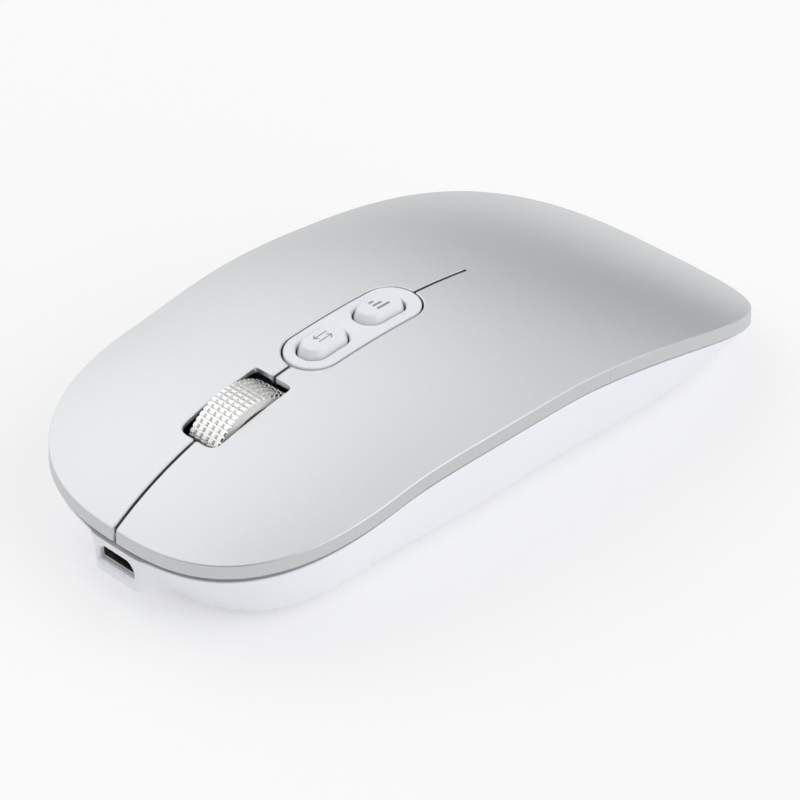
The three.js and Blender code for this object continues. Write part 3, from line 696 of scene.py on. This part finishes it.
def relieve_hinge(key):
    """Leans the key's rear edge away from the palm shell, so that a pressed key clears it."""
    for vertex in key.data.vertices:
        depth = HINGE_Z * MM - vertex.co.z
        if depth > 0 and abs(vertex.co.y - HINGE_Y * MM) < HINGE_SNAP * MM:
            vertex.co.y -= HINGE_RELIEF * depth


def make_cover():
    left = key_outline()
    right = mirrored(*left)
    for name, node, body, (loop, weights) in (
        ("left_key_cover", "left_button", "left_key", left),
        ("right_key_cover", "right_button", "right_key", right),
    ):
        key = plate(name, [(loop, weights)], top_z, cover_under, SILVER, cover_radius,
                    bottom=cover_bottom, lean=cover_lean)
        relieve_hinge(key)
        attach(key, body)
        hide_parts(node)
    across = hinge_line()
    rear = outline_part(y0=HINGE_Y)
    bend = np.concatenate([across[::-1] * MIRROR, across])
    loop, weights = chain([(rear, 1, 0), (rear[::-1] * MIRROR, 1, 0), (bend, 0, 0)])
    palm = plate("palm_shell", [(loop, weights)], top_z, cover_under, SILVER, cover_radius,
                 bottom=cover_bottom, lean=cover_lean)
    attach(palm, "base")
    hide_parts("palm_cover")


# ---- The white lower shell ----

WALL_SHARES = np.concatenate([np.linspace(0, 0.46, 8), np.linspace(0.48, 0.7, 18), np.linspace(0.74, 0.9, 4)])
FLOOR_CURVE = 1.4  # reach of the rounding between wall and floor
FINE_POINTS = {"reach": 9.5, "step": 0.2}  # spacing of the outline's points near the socket
COARSE_COUNT = 190
LIP = {"outer": 1.6, "inner": 2.6, "drop": 1.85, "root": 0.6}  # the shell's upstand inside the cover
SHOULDER = {"flat": 0.75, "soft": 0.55, "soft_drop": 0.08, "wall": 0.5, "wall_drop": 0.25}
FLOOR_WALL = 2.4
HOLE_SOFT = 0.15  # soft edge of the holes in the floor, up to HOLE_EDGE_Z
HOLE_EDGE_Z = 1.0
POCKET = {"gap": 0.3, "corner": 0.6, "wall": 1.2, "top": 12.0}
LENS_WINDOW = (0.35, 0.4, 1.5)  # gap at the sides, gap at the ends, corner
KNOB_WINDOW = {"reach": 2.7, "half": 1.3, "corner": 0.3}
KNOB_TRAVEL = 2.0
SCREW_WELL = {"radius": 2.3, "seat": 3.8, "neck": 1, "top": 5.4, "wall": 1.1}
FOOT_RECESS = {"gap": 0.25, "top": 1.3}
FOOT_SHAPE = {"bend": 3.0, "corner": 0.9}
USB_FACE = -57.2
USB_FLARE = {"half": 5.2, "power": 11, "low": 2.6, "high": 3.9}
SOCKET = {"half": 3.45, "low": 5.35, "high": 7.85, "cut": 0.9, "flare": 0.4, "soft": 0.45, "depth": 9}
COLLAR = {"front": 0.9, "back": 4.2, "gap": 0.02, "wall": 0.9}


def shell_outline():
    """Points and outward normals of the whole outline, closer together round the charging socket."""
    half = half_outline()
    fine = np.arange(0, FINE_POINTS["reach"], FINE_POINTS["step"])
    coarse = np.linspace(FINE_POINTS["reach"], path_lengths(half)[-1], COARSE_COUNT)
    line = points_at(half, np.concatenate([fine, coarse]))
    points = np.concatenate([line, (line[1:-1] * MIRROR)[::-1]])
    along = np.roll(points, -1, 0) - np.roll(points, 1, 0)
    along /= np.linalg.norm(along, axis=1)[:, None]
    return points, np.stack([along[:, 1], -along[:, 0]], 1)


def socket_nose(points, z):
    """Moves the wall's points forward where it bulges round the charging socket."""
    side = 1 / (1 + (np.abs(points[:, 0]) / USB_FLARE["half"]) ** USB_FLARE["power"])
    rise = np.clip((z - USB_FLARE["low"]) / (USB_FLARE["high"] - USB_FLARE["low"]), 0, 1)
    share = side * rise * rise * (3 - 2 * rise) * (points[:, 1] < 0)
    moved = points.copy()
    moved[:, 1] += (USB_FACE - points[:, 1]) * share * (points[:, 1] > USB_FACE)
    return moved


def floor_holes():
    """Holes in the floor: outline, and (outset, z) of each ring from the floor's underside up.

    The last entry says whether the hole goes through; a blind one ends in a flat top.
    """
    gap, wall = POCKET["gap"], POCKET["wall"]
    pocket = box_outline("receiver_cap", gap, gap, POCKET["corner"])
    steps = [(0, HOLE_EDGE_Z), (0, POCKET["top"]), (wall, POCKET["top"]), (wall, FLOOR_TOP)]
    holes = [(pocket, steps, True)]
    through = [(0, HOLE_EDGE_Z), (0, FLOOR_TOP)]
    lens = box_outline("sensor_lens", *LENS_WINDOW)
    holes.append((lens, through, True))
    middle = mm_centre("power_slider") + np.array([KNOB_TRAVEL / 2, 0, 0])
    half = KNOB_WINDOW["half"]
    window = rounded_box(KNOB_WINDOW["reach"], -half, half, KNOB_WINDOW["corner"], step=0.3) + middle[:2]
    holes.append((window, through, True))
    seat, neck, top, wall = (SCREW_WELL[key] for key in ("seat", "neck", "top", "wall"))
    steps = [(0, HOLE_EDGE_Z), (0, seat), (-neck, seat), (-neck, top), (wall, top), (wall, FLOOR_TOP)]
    for i in (1, 2):  # screws 3 and 4 are hidden under the rear foot
        centre = mm_centre(f"case_screw_{i}")
        holes.append((arc(centre, SCREW_WELL["radius"], 0, 360, 28)[:-1], steps, True))
    for foot in ("front_glide_foot", "rear_glide_foot"):
        recess = foot_outline(foot, FOOT_RECESS["gap"])
        holes.append((recess, [(0, HOLE_EDGE_Z), (0, FOOT_RECESS["top"])], False))
    return holes


def foot_outline(node, margin):
    """A bar bent along the body's end, with round corners, around the CAD foot."""
    low, high = mm_box(node)
    side = 1 if low[1] > 0 else -1
    reach = high[0] + margin
    bend = FOOT_SHAPE["bend"]
    inner = (low[1] if side > 0 else high[1]) + side * (bend - margin)
    outer = (high[1] if side > 0 else low[1]) + side * margin
    xs = np.linspace(-reach, reach, 40)
    drop = side * bend * (xs / reach) ** 2
    inner_line = np.stack([xs, inner - drop], 1)
    outer_line = np.stack([xs, outer - drop], 1)[::-1]
    sides = (inner_line, [inner_line[-1], outer_line[0]], outer_line, [outer_line[-1], inner_line[0]])
    loop = chain([(line, 1, FOOT_SHAPE["corner"]) for line in sides], 0.5)[0]
    return loop if side > 0 else loop[::-1].copy()


def make_shell():
    points, normals = shell_outline()
    y = points[:, 1]
    builder = Builder()

    def inset_ring(inset, z, bulge=False):
        place = points - normals * np.broadcast_to(inset, y.shape)[:, None]
        if bulge:
            place = socket_nose(place, np.broadcast_to(z, y.shape))
        return builder.ring(place, z)

    shoulder, lip = shoulder_z(y), rim_z(y) - LIP["drop"]
    rings = [inset_ring(LIP["inner"], shoulder - LIP["root"]),
             inset_ring(LIP["inner"], lip),
             inset_ring(LIP["outer"], lip),
             inset_ring(LIP["outer"], shoulder),
             inset_ring(SHOULDER["flat"], shoulder, True),
             inset_ring(SHOULDER["soft"], shoulder - SHOULDER["soft_drop"], True)]
    foot_inset = base_inset(y)
    wall_top = shoulder - SHOULDER["wall_drop"]

    def wall_place(share):
        """Inset and height of the wall, which bellies out a little, at a share of the way down."""
        inset = SHOULDER["wall"] + (foot_inset - SHOULDER["wall"]) * share - share * (1 - share)
        return inset, wall_top + (BASE_Z - wall_top) * share

    for share in WALL_SHARES:
        rings.append(inset_ring(*wall_place(share), True))
    last_inset, last_z = wall_place(WALL_SHARES[-1])
    for t in np.linspace(0, 1, 8)[1:]:
        inset = (1 - t) ** 2 * last_inset + 2 * t * (1 - t) * foot_inset + t * t * (foot_inset + FLOOR_CURVE)
        z = (1 - t) ** 2 * last_z + (1 - (1 - t) ** 2) * BASE_Z
        rings.append(inset_ring(inset, z))
    floor_inner = inset_ring(foot_inset + FLOOR_WALL, FLOOR_TOP)
    builder.strip(floor_inner, rings[0])
    builder.strips(rings)
    outer_loops, inner_loops = [rings[-1]], [floor_inner]
    for loop, steps, through in floor_holes():
        moves = inward_moves(loop, np.ones(len(loop)))
        hole_rings = [builder.ring(loop - moves * HOLE_SOFT, BASE_Z)]
        hole_rings += [builder.ring(loop - moves * outset, z) for outset, z in steps]
        builder.strips(hole_rings)
        outer_loops.append(hole_rings[0])
        if through:
            inner_loops.append(hole_rings[-1])
        else:
            builder.fill([hole_rings[-1]], level(steps[-1][1]), 2.0, up=False)
    builder.fill(outer_loops, level(BASE_Z), 2.2, up=False)
    builder.fill(inner_loops, level(FLOOR_TOP), 3.0)
    shell = builder.mesh_object("lower_shell", WHITE)
    cut_socket(shell)
    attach(shell, "base")
    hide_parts("bottom_shell")


def socket_section(grow):
    """Outline in x and z of the charging socket's recess: its two upper corners are cut off."""
    half, low, high, cut = SOCKET["half"], SOCKET["low"], SOCKET["high"], SOCKET["cut"]
    corners = [(-half, low), (half, low), (half, high - cut), (half - cut, high),
               (cut - half, high), (-half, high - cut)]
    pairs = zip(corners, corners[1:] + corners[:1])
    loop = chain([([a, b], 1, SOCKET["soft"]) for a, b in pairs], 0.4)[0]
    return loop - inward_moves(loop, np.ones(len(loop))) * grow


def make_socket_collar():
    """The white tube behind the mouth of the charging recess, round the socket's metal shell."""
    builder = Builder()
    front, back = (USB_FACE + COLLAR[end] for end in ("front", "back"))
    inner, outer = COLLAR["gap"], COLLAR["wall"]
    rings = []
    for grow, y in ((inner, front), (inner, back), (outer, back), (outer, front)):
        rings.append(builder.section((x, y, z) for x, z in socket_section(grow)))
    builder.strips(rings + rings[:1])
    collar = builder.mesh_object("socket_collar", WHITE)
    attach(collar, "base")


def cut_socket(shell):
    """Cuts the charging socket's recess, with a flared mouth, through the shell's nose."""
    flare = SOCKET["flare"]
    builder = Builder()
    rings = []
    for grow, y in ((2 * flare, USB_FACE - flare), (0, USB_FACE + flare), (0, USB_FACE + SOCKET["depth"])):
        rings.append(builder.section((x, y, z) for x, z in socket_section(grow)))
    builder.faces = [tuple(rings[0]), tuple(reversed(rings[-1]))]
    builder.strips(rings)
    cutter = builder.bare_object("socket_cutter")
    shell.modifiers.clear()
    cutting = shell.modifiers.new("cut", "BOOLEAN")
    cutting.operation = "DIFFERENCE"
    cutting.object = cutter
    cutting.solver = "EXACT"
    bpy.context.view_layer.update()
    evaluated = shell.evaluated_get(bpy.context.evaluated_depsgraph_get())
    result = bpy.data.meshes.new_from_object(evaluated)
    shell.modifiers.clear()
    shell.data = result
    bpy.data.objects.remove(cutter)
    finish_mesh(shell, WHITE, 30)


# ---- Bezel and buttons ----

BEZEL = {"proud": 0.1, "wall": 1.4, "button_gap": 0.18}
BUTTON = {"proud": 1.2, "lean": 0.3, "dome": 0.16, "root": 0.6, "corner": 0.8, "cut": 1.5}
STROKE = {"proud": 0.02, "root": 0.05}  # the print's top and underside from the button's surface
ARROW = {"apart": 0.5, "length": 2.4, "width": 0.17, "barb": 0.8, "barb_x": 0.24, "barb_y": 0.96}
BAR_WIDTH = 0.4
BARS = ((-0.85, 0.9), (0, 1.65), (0.85, 2.4))  # place and height of each


def button_outline(node, grow=0.0):
    return box_outline(node, grow, grow, BUTTON["corner"], cut=BUTTON["cut"], step=0.3)


def make_bezel():
    low, high = mm_box("button_bezel")
    rim = stadium(high[0], low[1], high[1])
    windows = [button_outline(node, BEZEL["button_gap"]) for node in ("mode_button", "dpi_button")]

    def surface(x, y):
        return top_z(x, y) + BEZEL["proud"]

    def under(x, y):
        return top_z(x, y) - BEZEL["wall"]

    bezel = plate("bezel", [whole(rim)] + [hole(w) for w in windows], surface, under, WHITE, 0.3,
                  spacing=0.7, low_spacing=1.5)
    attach(bezel, "base")
    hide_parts("button_bezel")


def make_button(node, body):
    low, high = mm_box(node)
    loop = button_outline(node)
    middle_y = (low[1] + high[1]) / 2

    def surface(x, y):
        dome = BUTTON["dome"] * ((np.abs(x) / high[0]) ** 2 + ((y - middle_y) / (high[1] - middle_y)) ** 4)
        return top_z(x, y) + BUTTON["proud"] - dome

    def under(x, y):
        return top_z(x, y) - BUTTON["root"]

    button = plate(node + "_cap", [whole(loop)], surface, under, WHITE, 0.4, spacing=0.45, low_spacing=1.2,
                   lean=BUTTON["lean"])
    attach(button, body)
    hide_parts(node)
    return surface


def make_symbol(name, strokes, surface, body, centre):
    """A printed symbol: flat strokes (x, y, width, height, turn) that lie on a button's surface."""
    builder = Builder()
    for x, y, width, height, turn in strokes:
        corners = np.array([(-width, -height), (width, -height), (width, height), (-width, height)]) / 2
        spin = np.array([[math.cos(turn), -math.sin(turn)], [math.sin(turn), math.cos(turn)]])
        loop = corners @ spin.T + np.array([x, y]) + centre
        upper = builder.ring(loop, surface(loop[:, 0], loop[:, 1]) + STROKE["proud"])
        lower = builder.ring(loop, surface(loop[:, 0], loop[:, 1]) - STROKE["root"])
        builder.strip(upper, lower)
        builder.faces.append(tuple(upper))
        builder.faces.append(tuple(reversed(lower)))
    symbol = builder.mesh_object(name, PRINT)
    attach(symbol, body)


def make_buttons():
    mode_surface = make_button("mode_button", "mode_key")
    dpi_surface = make_button("dpi_button", "dpi_key")
    arrows = []
    for side in (1, -1):
        x = side * ARROW["apart"]
        arrows.append((x, 0, ARROW["width"], ARROW["length"], 0))
        for barb in (1, -1):
            turn = math.radians(45) * barb * side
            place = (x + barb * ARROW["barb_x"], side * ARROW["barb_y"])
            arrows.append((*place, ARROW["width"], ARROW["barb"], turn))
    make_symbol("mode_symbol", arrows, mode_surface, "mode_key", mm_centre("mode_button")[:2])
    tallest = max(height for _, height in BARS)
    bars = [(x, (height - tallest) / 2, BAR_WIDTH, height, 0) for x, height in BARS]
    make_symbol("speed_symbol", bars, dpi_surface, "dpi_key", mm_centre("dpi_button")[:2])


# ---- The wheel ----

PADS_ROUND = 66
PADS_ACROSS = 5
PAD_SHARE = 0.72  # how much of each pitch is pad, and not groove
PAD_SLOPE = 0.07
GROOVE_DEPTH = 0.34
WHEEL_BEVEL = {"width": 0.45, "drop": 0.75}


def pad_steps(count):
    """Places of pads and grooves as shares of the whole way, with each place's height from 0 to 1."""
    steps = ((PAD_SLOPE, 1), (PAD_SHARE - PAD_SLOPE, 1), (PAD_SHARE, 0), (1, 0))
    return [((i + s) / count, h) for i in range(count) for s, h in steps]


def make_wheel_rim():
    low, high = mm_box("wheel_rim")
    centre = mm_centre("wheel_rim")
    radius, half = (high[2] - low[2]) / 2, high[0]
    pad_half = half - WHEEL_BEVEL["width"]
    floor = radius - GROOVE_DEPTH
    span = 2 * pad_half * PADS_ACROSS / (PADS_ACROSS - 1 + PAD_SHARE)
    across = [(-pad_half, 0)] + [(span * s - pad_half, h) for s, h in pad_steps(PADS_ACROSS)][:-1]
    bore = (mm_box("wheel_hub")[1][2] - mm_box("wheel_hub")[0][2]) / 2 + 0.3
    drop = WHEEL_BEVEL["drop"]
    side = [(pad_half + 0.08, floor), (half - 0.08, floor - drop), (half, floor - drop - 0.15),
            (half - 0.1, floor - drop - 0.5), (half - 0.6, radius - 2.3), (half - 0.9, bore), (0.9, bore)]
    builder = Builder()
    rings = []
    for share, height in pad_steps(PADS_ROUND):
        angle = 2 * math.pi * share
        profile = [(x, floor + GROOVE_DEPTH * min(h, height)) for x, h in across]
        profile += side + [(-x, r) for x, r in reversed(side)]
        rings.append(builder.section((x, centre[1] + r * math.cos(angle), centre[2] + r * math.sin(angle))
                                     for x, r in profile))
    builder.strips(rings + rings[:1])
    rim = builder.mesh_object("knurled_rim", CHROME, sharp=30)
    finish_wheel_faces(rim, centre, floor, span / PADS_ACROSS, -pad_half)
    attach(rim, "wheel")
    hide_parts("wheel_rim")


def finish_wheel_faces(rim, centre, floor, pitch, start):
    """Gives the wheel's sides a soft finish, and paints shade on the places where two grooves cross: a dark
    material on the groove floor there.
    """
    rim.data.materials.append(PIT_SHADE)
    rim.data.materials.append(WHEEL_SIDE)
    for face in rim.data.polygons:
        x, y, z = np.array(face.center) / MM
        if abs(x) > 0.01 - start:
            face.material_index = 2
            continue
        radius = math.hypot(y - centre[1], z - centre[2])
        turn = math.atan2(z - centre[2], y - centre[1]) / (2 * math.pi) - 0.25
        along = (-turn * PADS_ROUND) % 1
        across = ((x - start) / pitch) % 1
        crossing = along > PAD_SHARE and across > PAD_SHARE and abs(x) < -start
        # painted shade: the pits where two grooves cross get the dark material
        if crossing and floor - 0.05 < radius < floor + 0.03:
            face.material_index = 1


SPRING = {"wire": 0.2, "turns": 3, "steps": 84, "sides": 8}


def make_spring():
    """The wheel carrier's return spring: a coil of wire that fills the CAD spring's box."""
    low, high = mm_box("cradle_spring")
    centre = mm_centre("cradle_spring")
    wire = SPRING["wire"]
    coil = (high[0] - low[0]) / 2 - wire
    builder = Builder()
    sections = []
    for t in np.linspace(0, 1, SPRING["steps"] + 1):
        turn = 2 * math.pi * SPRING["turns"] * t
        height = low[2] + wire + (high[2] - low[2] - 2 * wire) * t
        circle = []
        for angle in np.arange(SPRING["sides"]) * 2 * math.pi / SPRING["sides"]:
            reach = coil + wire * math.cos(angle)
            x = centre[0] + reach * math.cos(turn)
            y = centre[1] + reach * math.sin(turn)
            circle.append((x, y, height + wire * math.sin(angle)))
        sections.append(builder.section(circle))
    builder.strips(sections)
    builder.faces.append(tuple(sections[0]))
    builder.faces.append(tuple(reversed(sections[-1])))
    spring = builder.mesh_object("return_spring", STEEL)
    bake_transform(spring)
    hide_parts("cradle_spring")


# ---- Underside ----

KNOB_RIDGES = {"pitch": 0.6, "depth": 0.25}
KNOB_EDGES = {"corner": 0.25, "upper": 0.15, "lower": 0.05}
CAP = {"corner": 0.55, "upper": 0.2, "lower": 0.25, "sleeve_gap": 0.05, "sleeve_corner": 0.3}
NAIL_DENT = {"inset": 1.5, "half_width": 0.6, "reach": 4.0, "depth": 0.7}


def make_power_knob():
    """The power slider's knob, with ridges across its face for a fingertip."""
    low, high = mm_box("power_slider")
    middle = (low + high) / 2
    loop = rounded_box(high[0] - middle[0], low[1], high[1], KNOB_EDGES["corner"], step=0.1)
    loop = loop + np.array([middle[0], 0])

    def under(x, y):
        wave = 0.5 - 0.5 * np.cos(2 * math.pi * (x - middle[0]) / KNOB_RIDGES["pitch"])
        return low[2] + KNOB_RIDGES["depth"] * wave

    knob = plate("power_knob_face", [whole(loop)], level(high[2]), under, BLACK, KNOB_EDGES["upper"],
                 low_radius=KNOB_EDGES["lower"], spacing=0.6, low_spacing=0.1)
    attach(knob, "power_knob")
    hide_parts("power_slider")


def make_receiver_cap():
    """The receiver's cap: a sleeve round the metal plug, with a dent for a fingernail."""
    low, high = mm_box("receiver_cap")
    gap = CAP["sleeve_gap"]
    plug_end = mm_box("receiver_plug")[0][2] - gap
    loop = box_outline("receiver_cap", 0, 0, CAP["corner"])

    def under(x, y):
        across = np.exp(-((y - low[1] - NAIL_DENT["inset"]) / NAIL_DENT["half_width"]) ** 2)
        along = 1 / (1 + (np.abs(x) / NAIL_DENT["reach"]) ** 12)
        return low[2] + NAIL_DENT["depth"] * across * along

    builder = Builder()
    moves = inward_moves(loop, np.ones(len(loop)))
    upper, lower = edge_rings(builder, loop, moves, level(high[2]), under(loop[:, 0], loop[:, 1]),
                              CAP["upper"], CAP["lower"])
    sleeve = box_outline("receiver_plug", gap, gap, CAP["sleeve_corner"])
    mouth = builder.ring(sleeve, high[2])
    end = builder.ring(sleeve, plug_end)
    builder.strip(mouth, end)
    builder.fill([upper, mouth], level(high[2]), 1.5)
    builder.fill([end], level(plug_end), 2.0)
    builder.fill([lower], under, 0.35, up=False)
    cap = builder.mesh_object("receiver_cap_shell", BLACK)
    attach(cap, "receiver")
    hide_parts("receiver_cap")


def make_feet():
    for node in ("front_glide_foot", "rear_glide_foot"):
        low, high = mm_box(node)
        foot = plate(node + "_pad", [whole(foot_outline(node, 0.0))], level(high[2]), level(low[2]), GLIDE,
                     0.15, low_radius=0.3, spacing=2, low_spacing=2)
        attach(foot, "base")
        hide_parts(node)


# ---- Camera, floor and light ----

CAMERA = {"place": (286.83, -307.23, 294.54), "azimuth": 43.28, "elevation": 34.52, "roll": -1.502,
          "lens": 160.43}
SENSOR_WIDTH = 36
FLOOR_REACH = 4000


def make_camera():
    a, e, roll = (math.radians(CAMERA[angle]) for angle in ("azimuth", "elevation", "roll"))
    right = Vector((math.cos(a), math.sin(a), 0))
    back = Vector((math.sin(a) * math.cos(e), -math.cos(a) * math.cos(e), math.sin(e)))
    up = back.cross(right)
    rolled_right = right * math.cos(roll) - up * math.sin(roll)
    rolled_up = right * math.sin(roll) + up * math.cos(roll)
    data = bpy.data.cameras.new("camera")
    data.lens = CAMERA["lens"]
    data.sensor_width = SENSOR_WIDTH
    camera = bpy.data.objects.new("camera", data)
    columns = (rolled_right, rolled_up, back, [v * MM for v in CAMERA["place"]])
    camera.matrix_world = Matrix([[column[k] for column in columns] for k in range(3)] + [[0, 0, 0, 1]])
    bpy.context.scene.collection.objects.link(camera)
    bpy.context.scene.camera = camera


def make_floor():
    builder = Builder()
    side = FLOOR_REACH
    builder.points = [(-side, -side, 0), (side, -side, 0), (side, side, 0), (-side, side, 0)]
    builder.faces = [(0, 1, 2, 3)]
    material = node_material("floor_paper", (0.72, 0.72, 0.72), 0.9, Emission_Strength=0.29)
    material.node_tree.nodes["Principled BSDF"].inputs["Emission Color"].default_value = (1, 1, 1, 1)
    floor = builder.mesh_object("floor", material)
    floor.modifiers.clear()


SKY = {"level": 0.02, "rise": 0.38}
GLOWS = (  # soft light from one side: direction, brightness at its middle, cosine at its edge
    ((-0.88, -0.22, 0.42), 1.0, 0.27),
    ((0.95, 0.15, 0.2), 1.25, 0.38),
    ((0.25, 0.5, 0.8), 0.34, 0.5),
    ((-0.35, 0.8, 0.42), 0.2, 0.62),
)


def make_world():
    """A pale studio: brighter overhead, with wide soft glows from the sides and the rear."""
    world = bpy.data.worlds.new("studio")
    world.use_nodes = True
    nodes, links = world.node_tree.nodes, world.node_tree.links
    place = nodes.new("ShaderNodeTexCoord")

    def facing(direction, start, end, low, high):
        """Brightness by how far a ray points along a direction."""
        dot = nodes.new("ShaderNodeVectorMath")
        dot.operation = "DOT_PRODUCT"
        dot.inputs[1].default_value = Vector(direction).normalized()
        links.new(place.outputs["Generated"], dot.inputs[0])
        return map_range(world.node_tree, dot.outputs["Value"], start, end, low, high, smooth=True)

    total = facing((0, 0, 1), 0, 1, SKY["level"], SKY["level"] + SKY["rise"])
    for direction, brightness, edge in GLOWS:
        add = nodes.new("ShaderNodeMath")
        links.new(total, add.inputs[0])
        links.new(facing(direction, edge, 1, 0, brightness), add.inputs[1])
        total = add.outputs["Value"]
    links.new(total, nodes["Background"].inputs["Color"])
    bpy.context.scene.world = world


def make_stage():
    make_camera()
    make_floor()
    make_world()
    view = bpy.context.scene.view_settings
    view.view_transform = "Standard"
    view.look = "None"


make_stage()
dress_cad_nodes()
make_cover()
make_shell()
make_socket_collar()
make_bezel()
make_buttons()
make_wheel_rim()
make_spring()
make_feet()
make_power_knob()
make_receiver_cap()
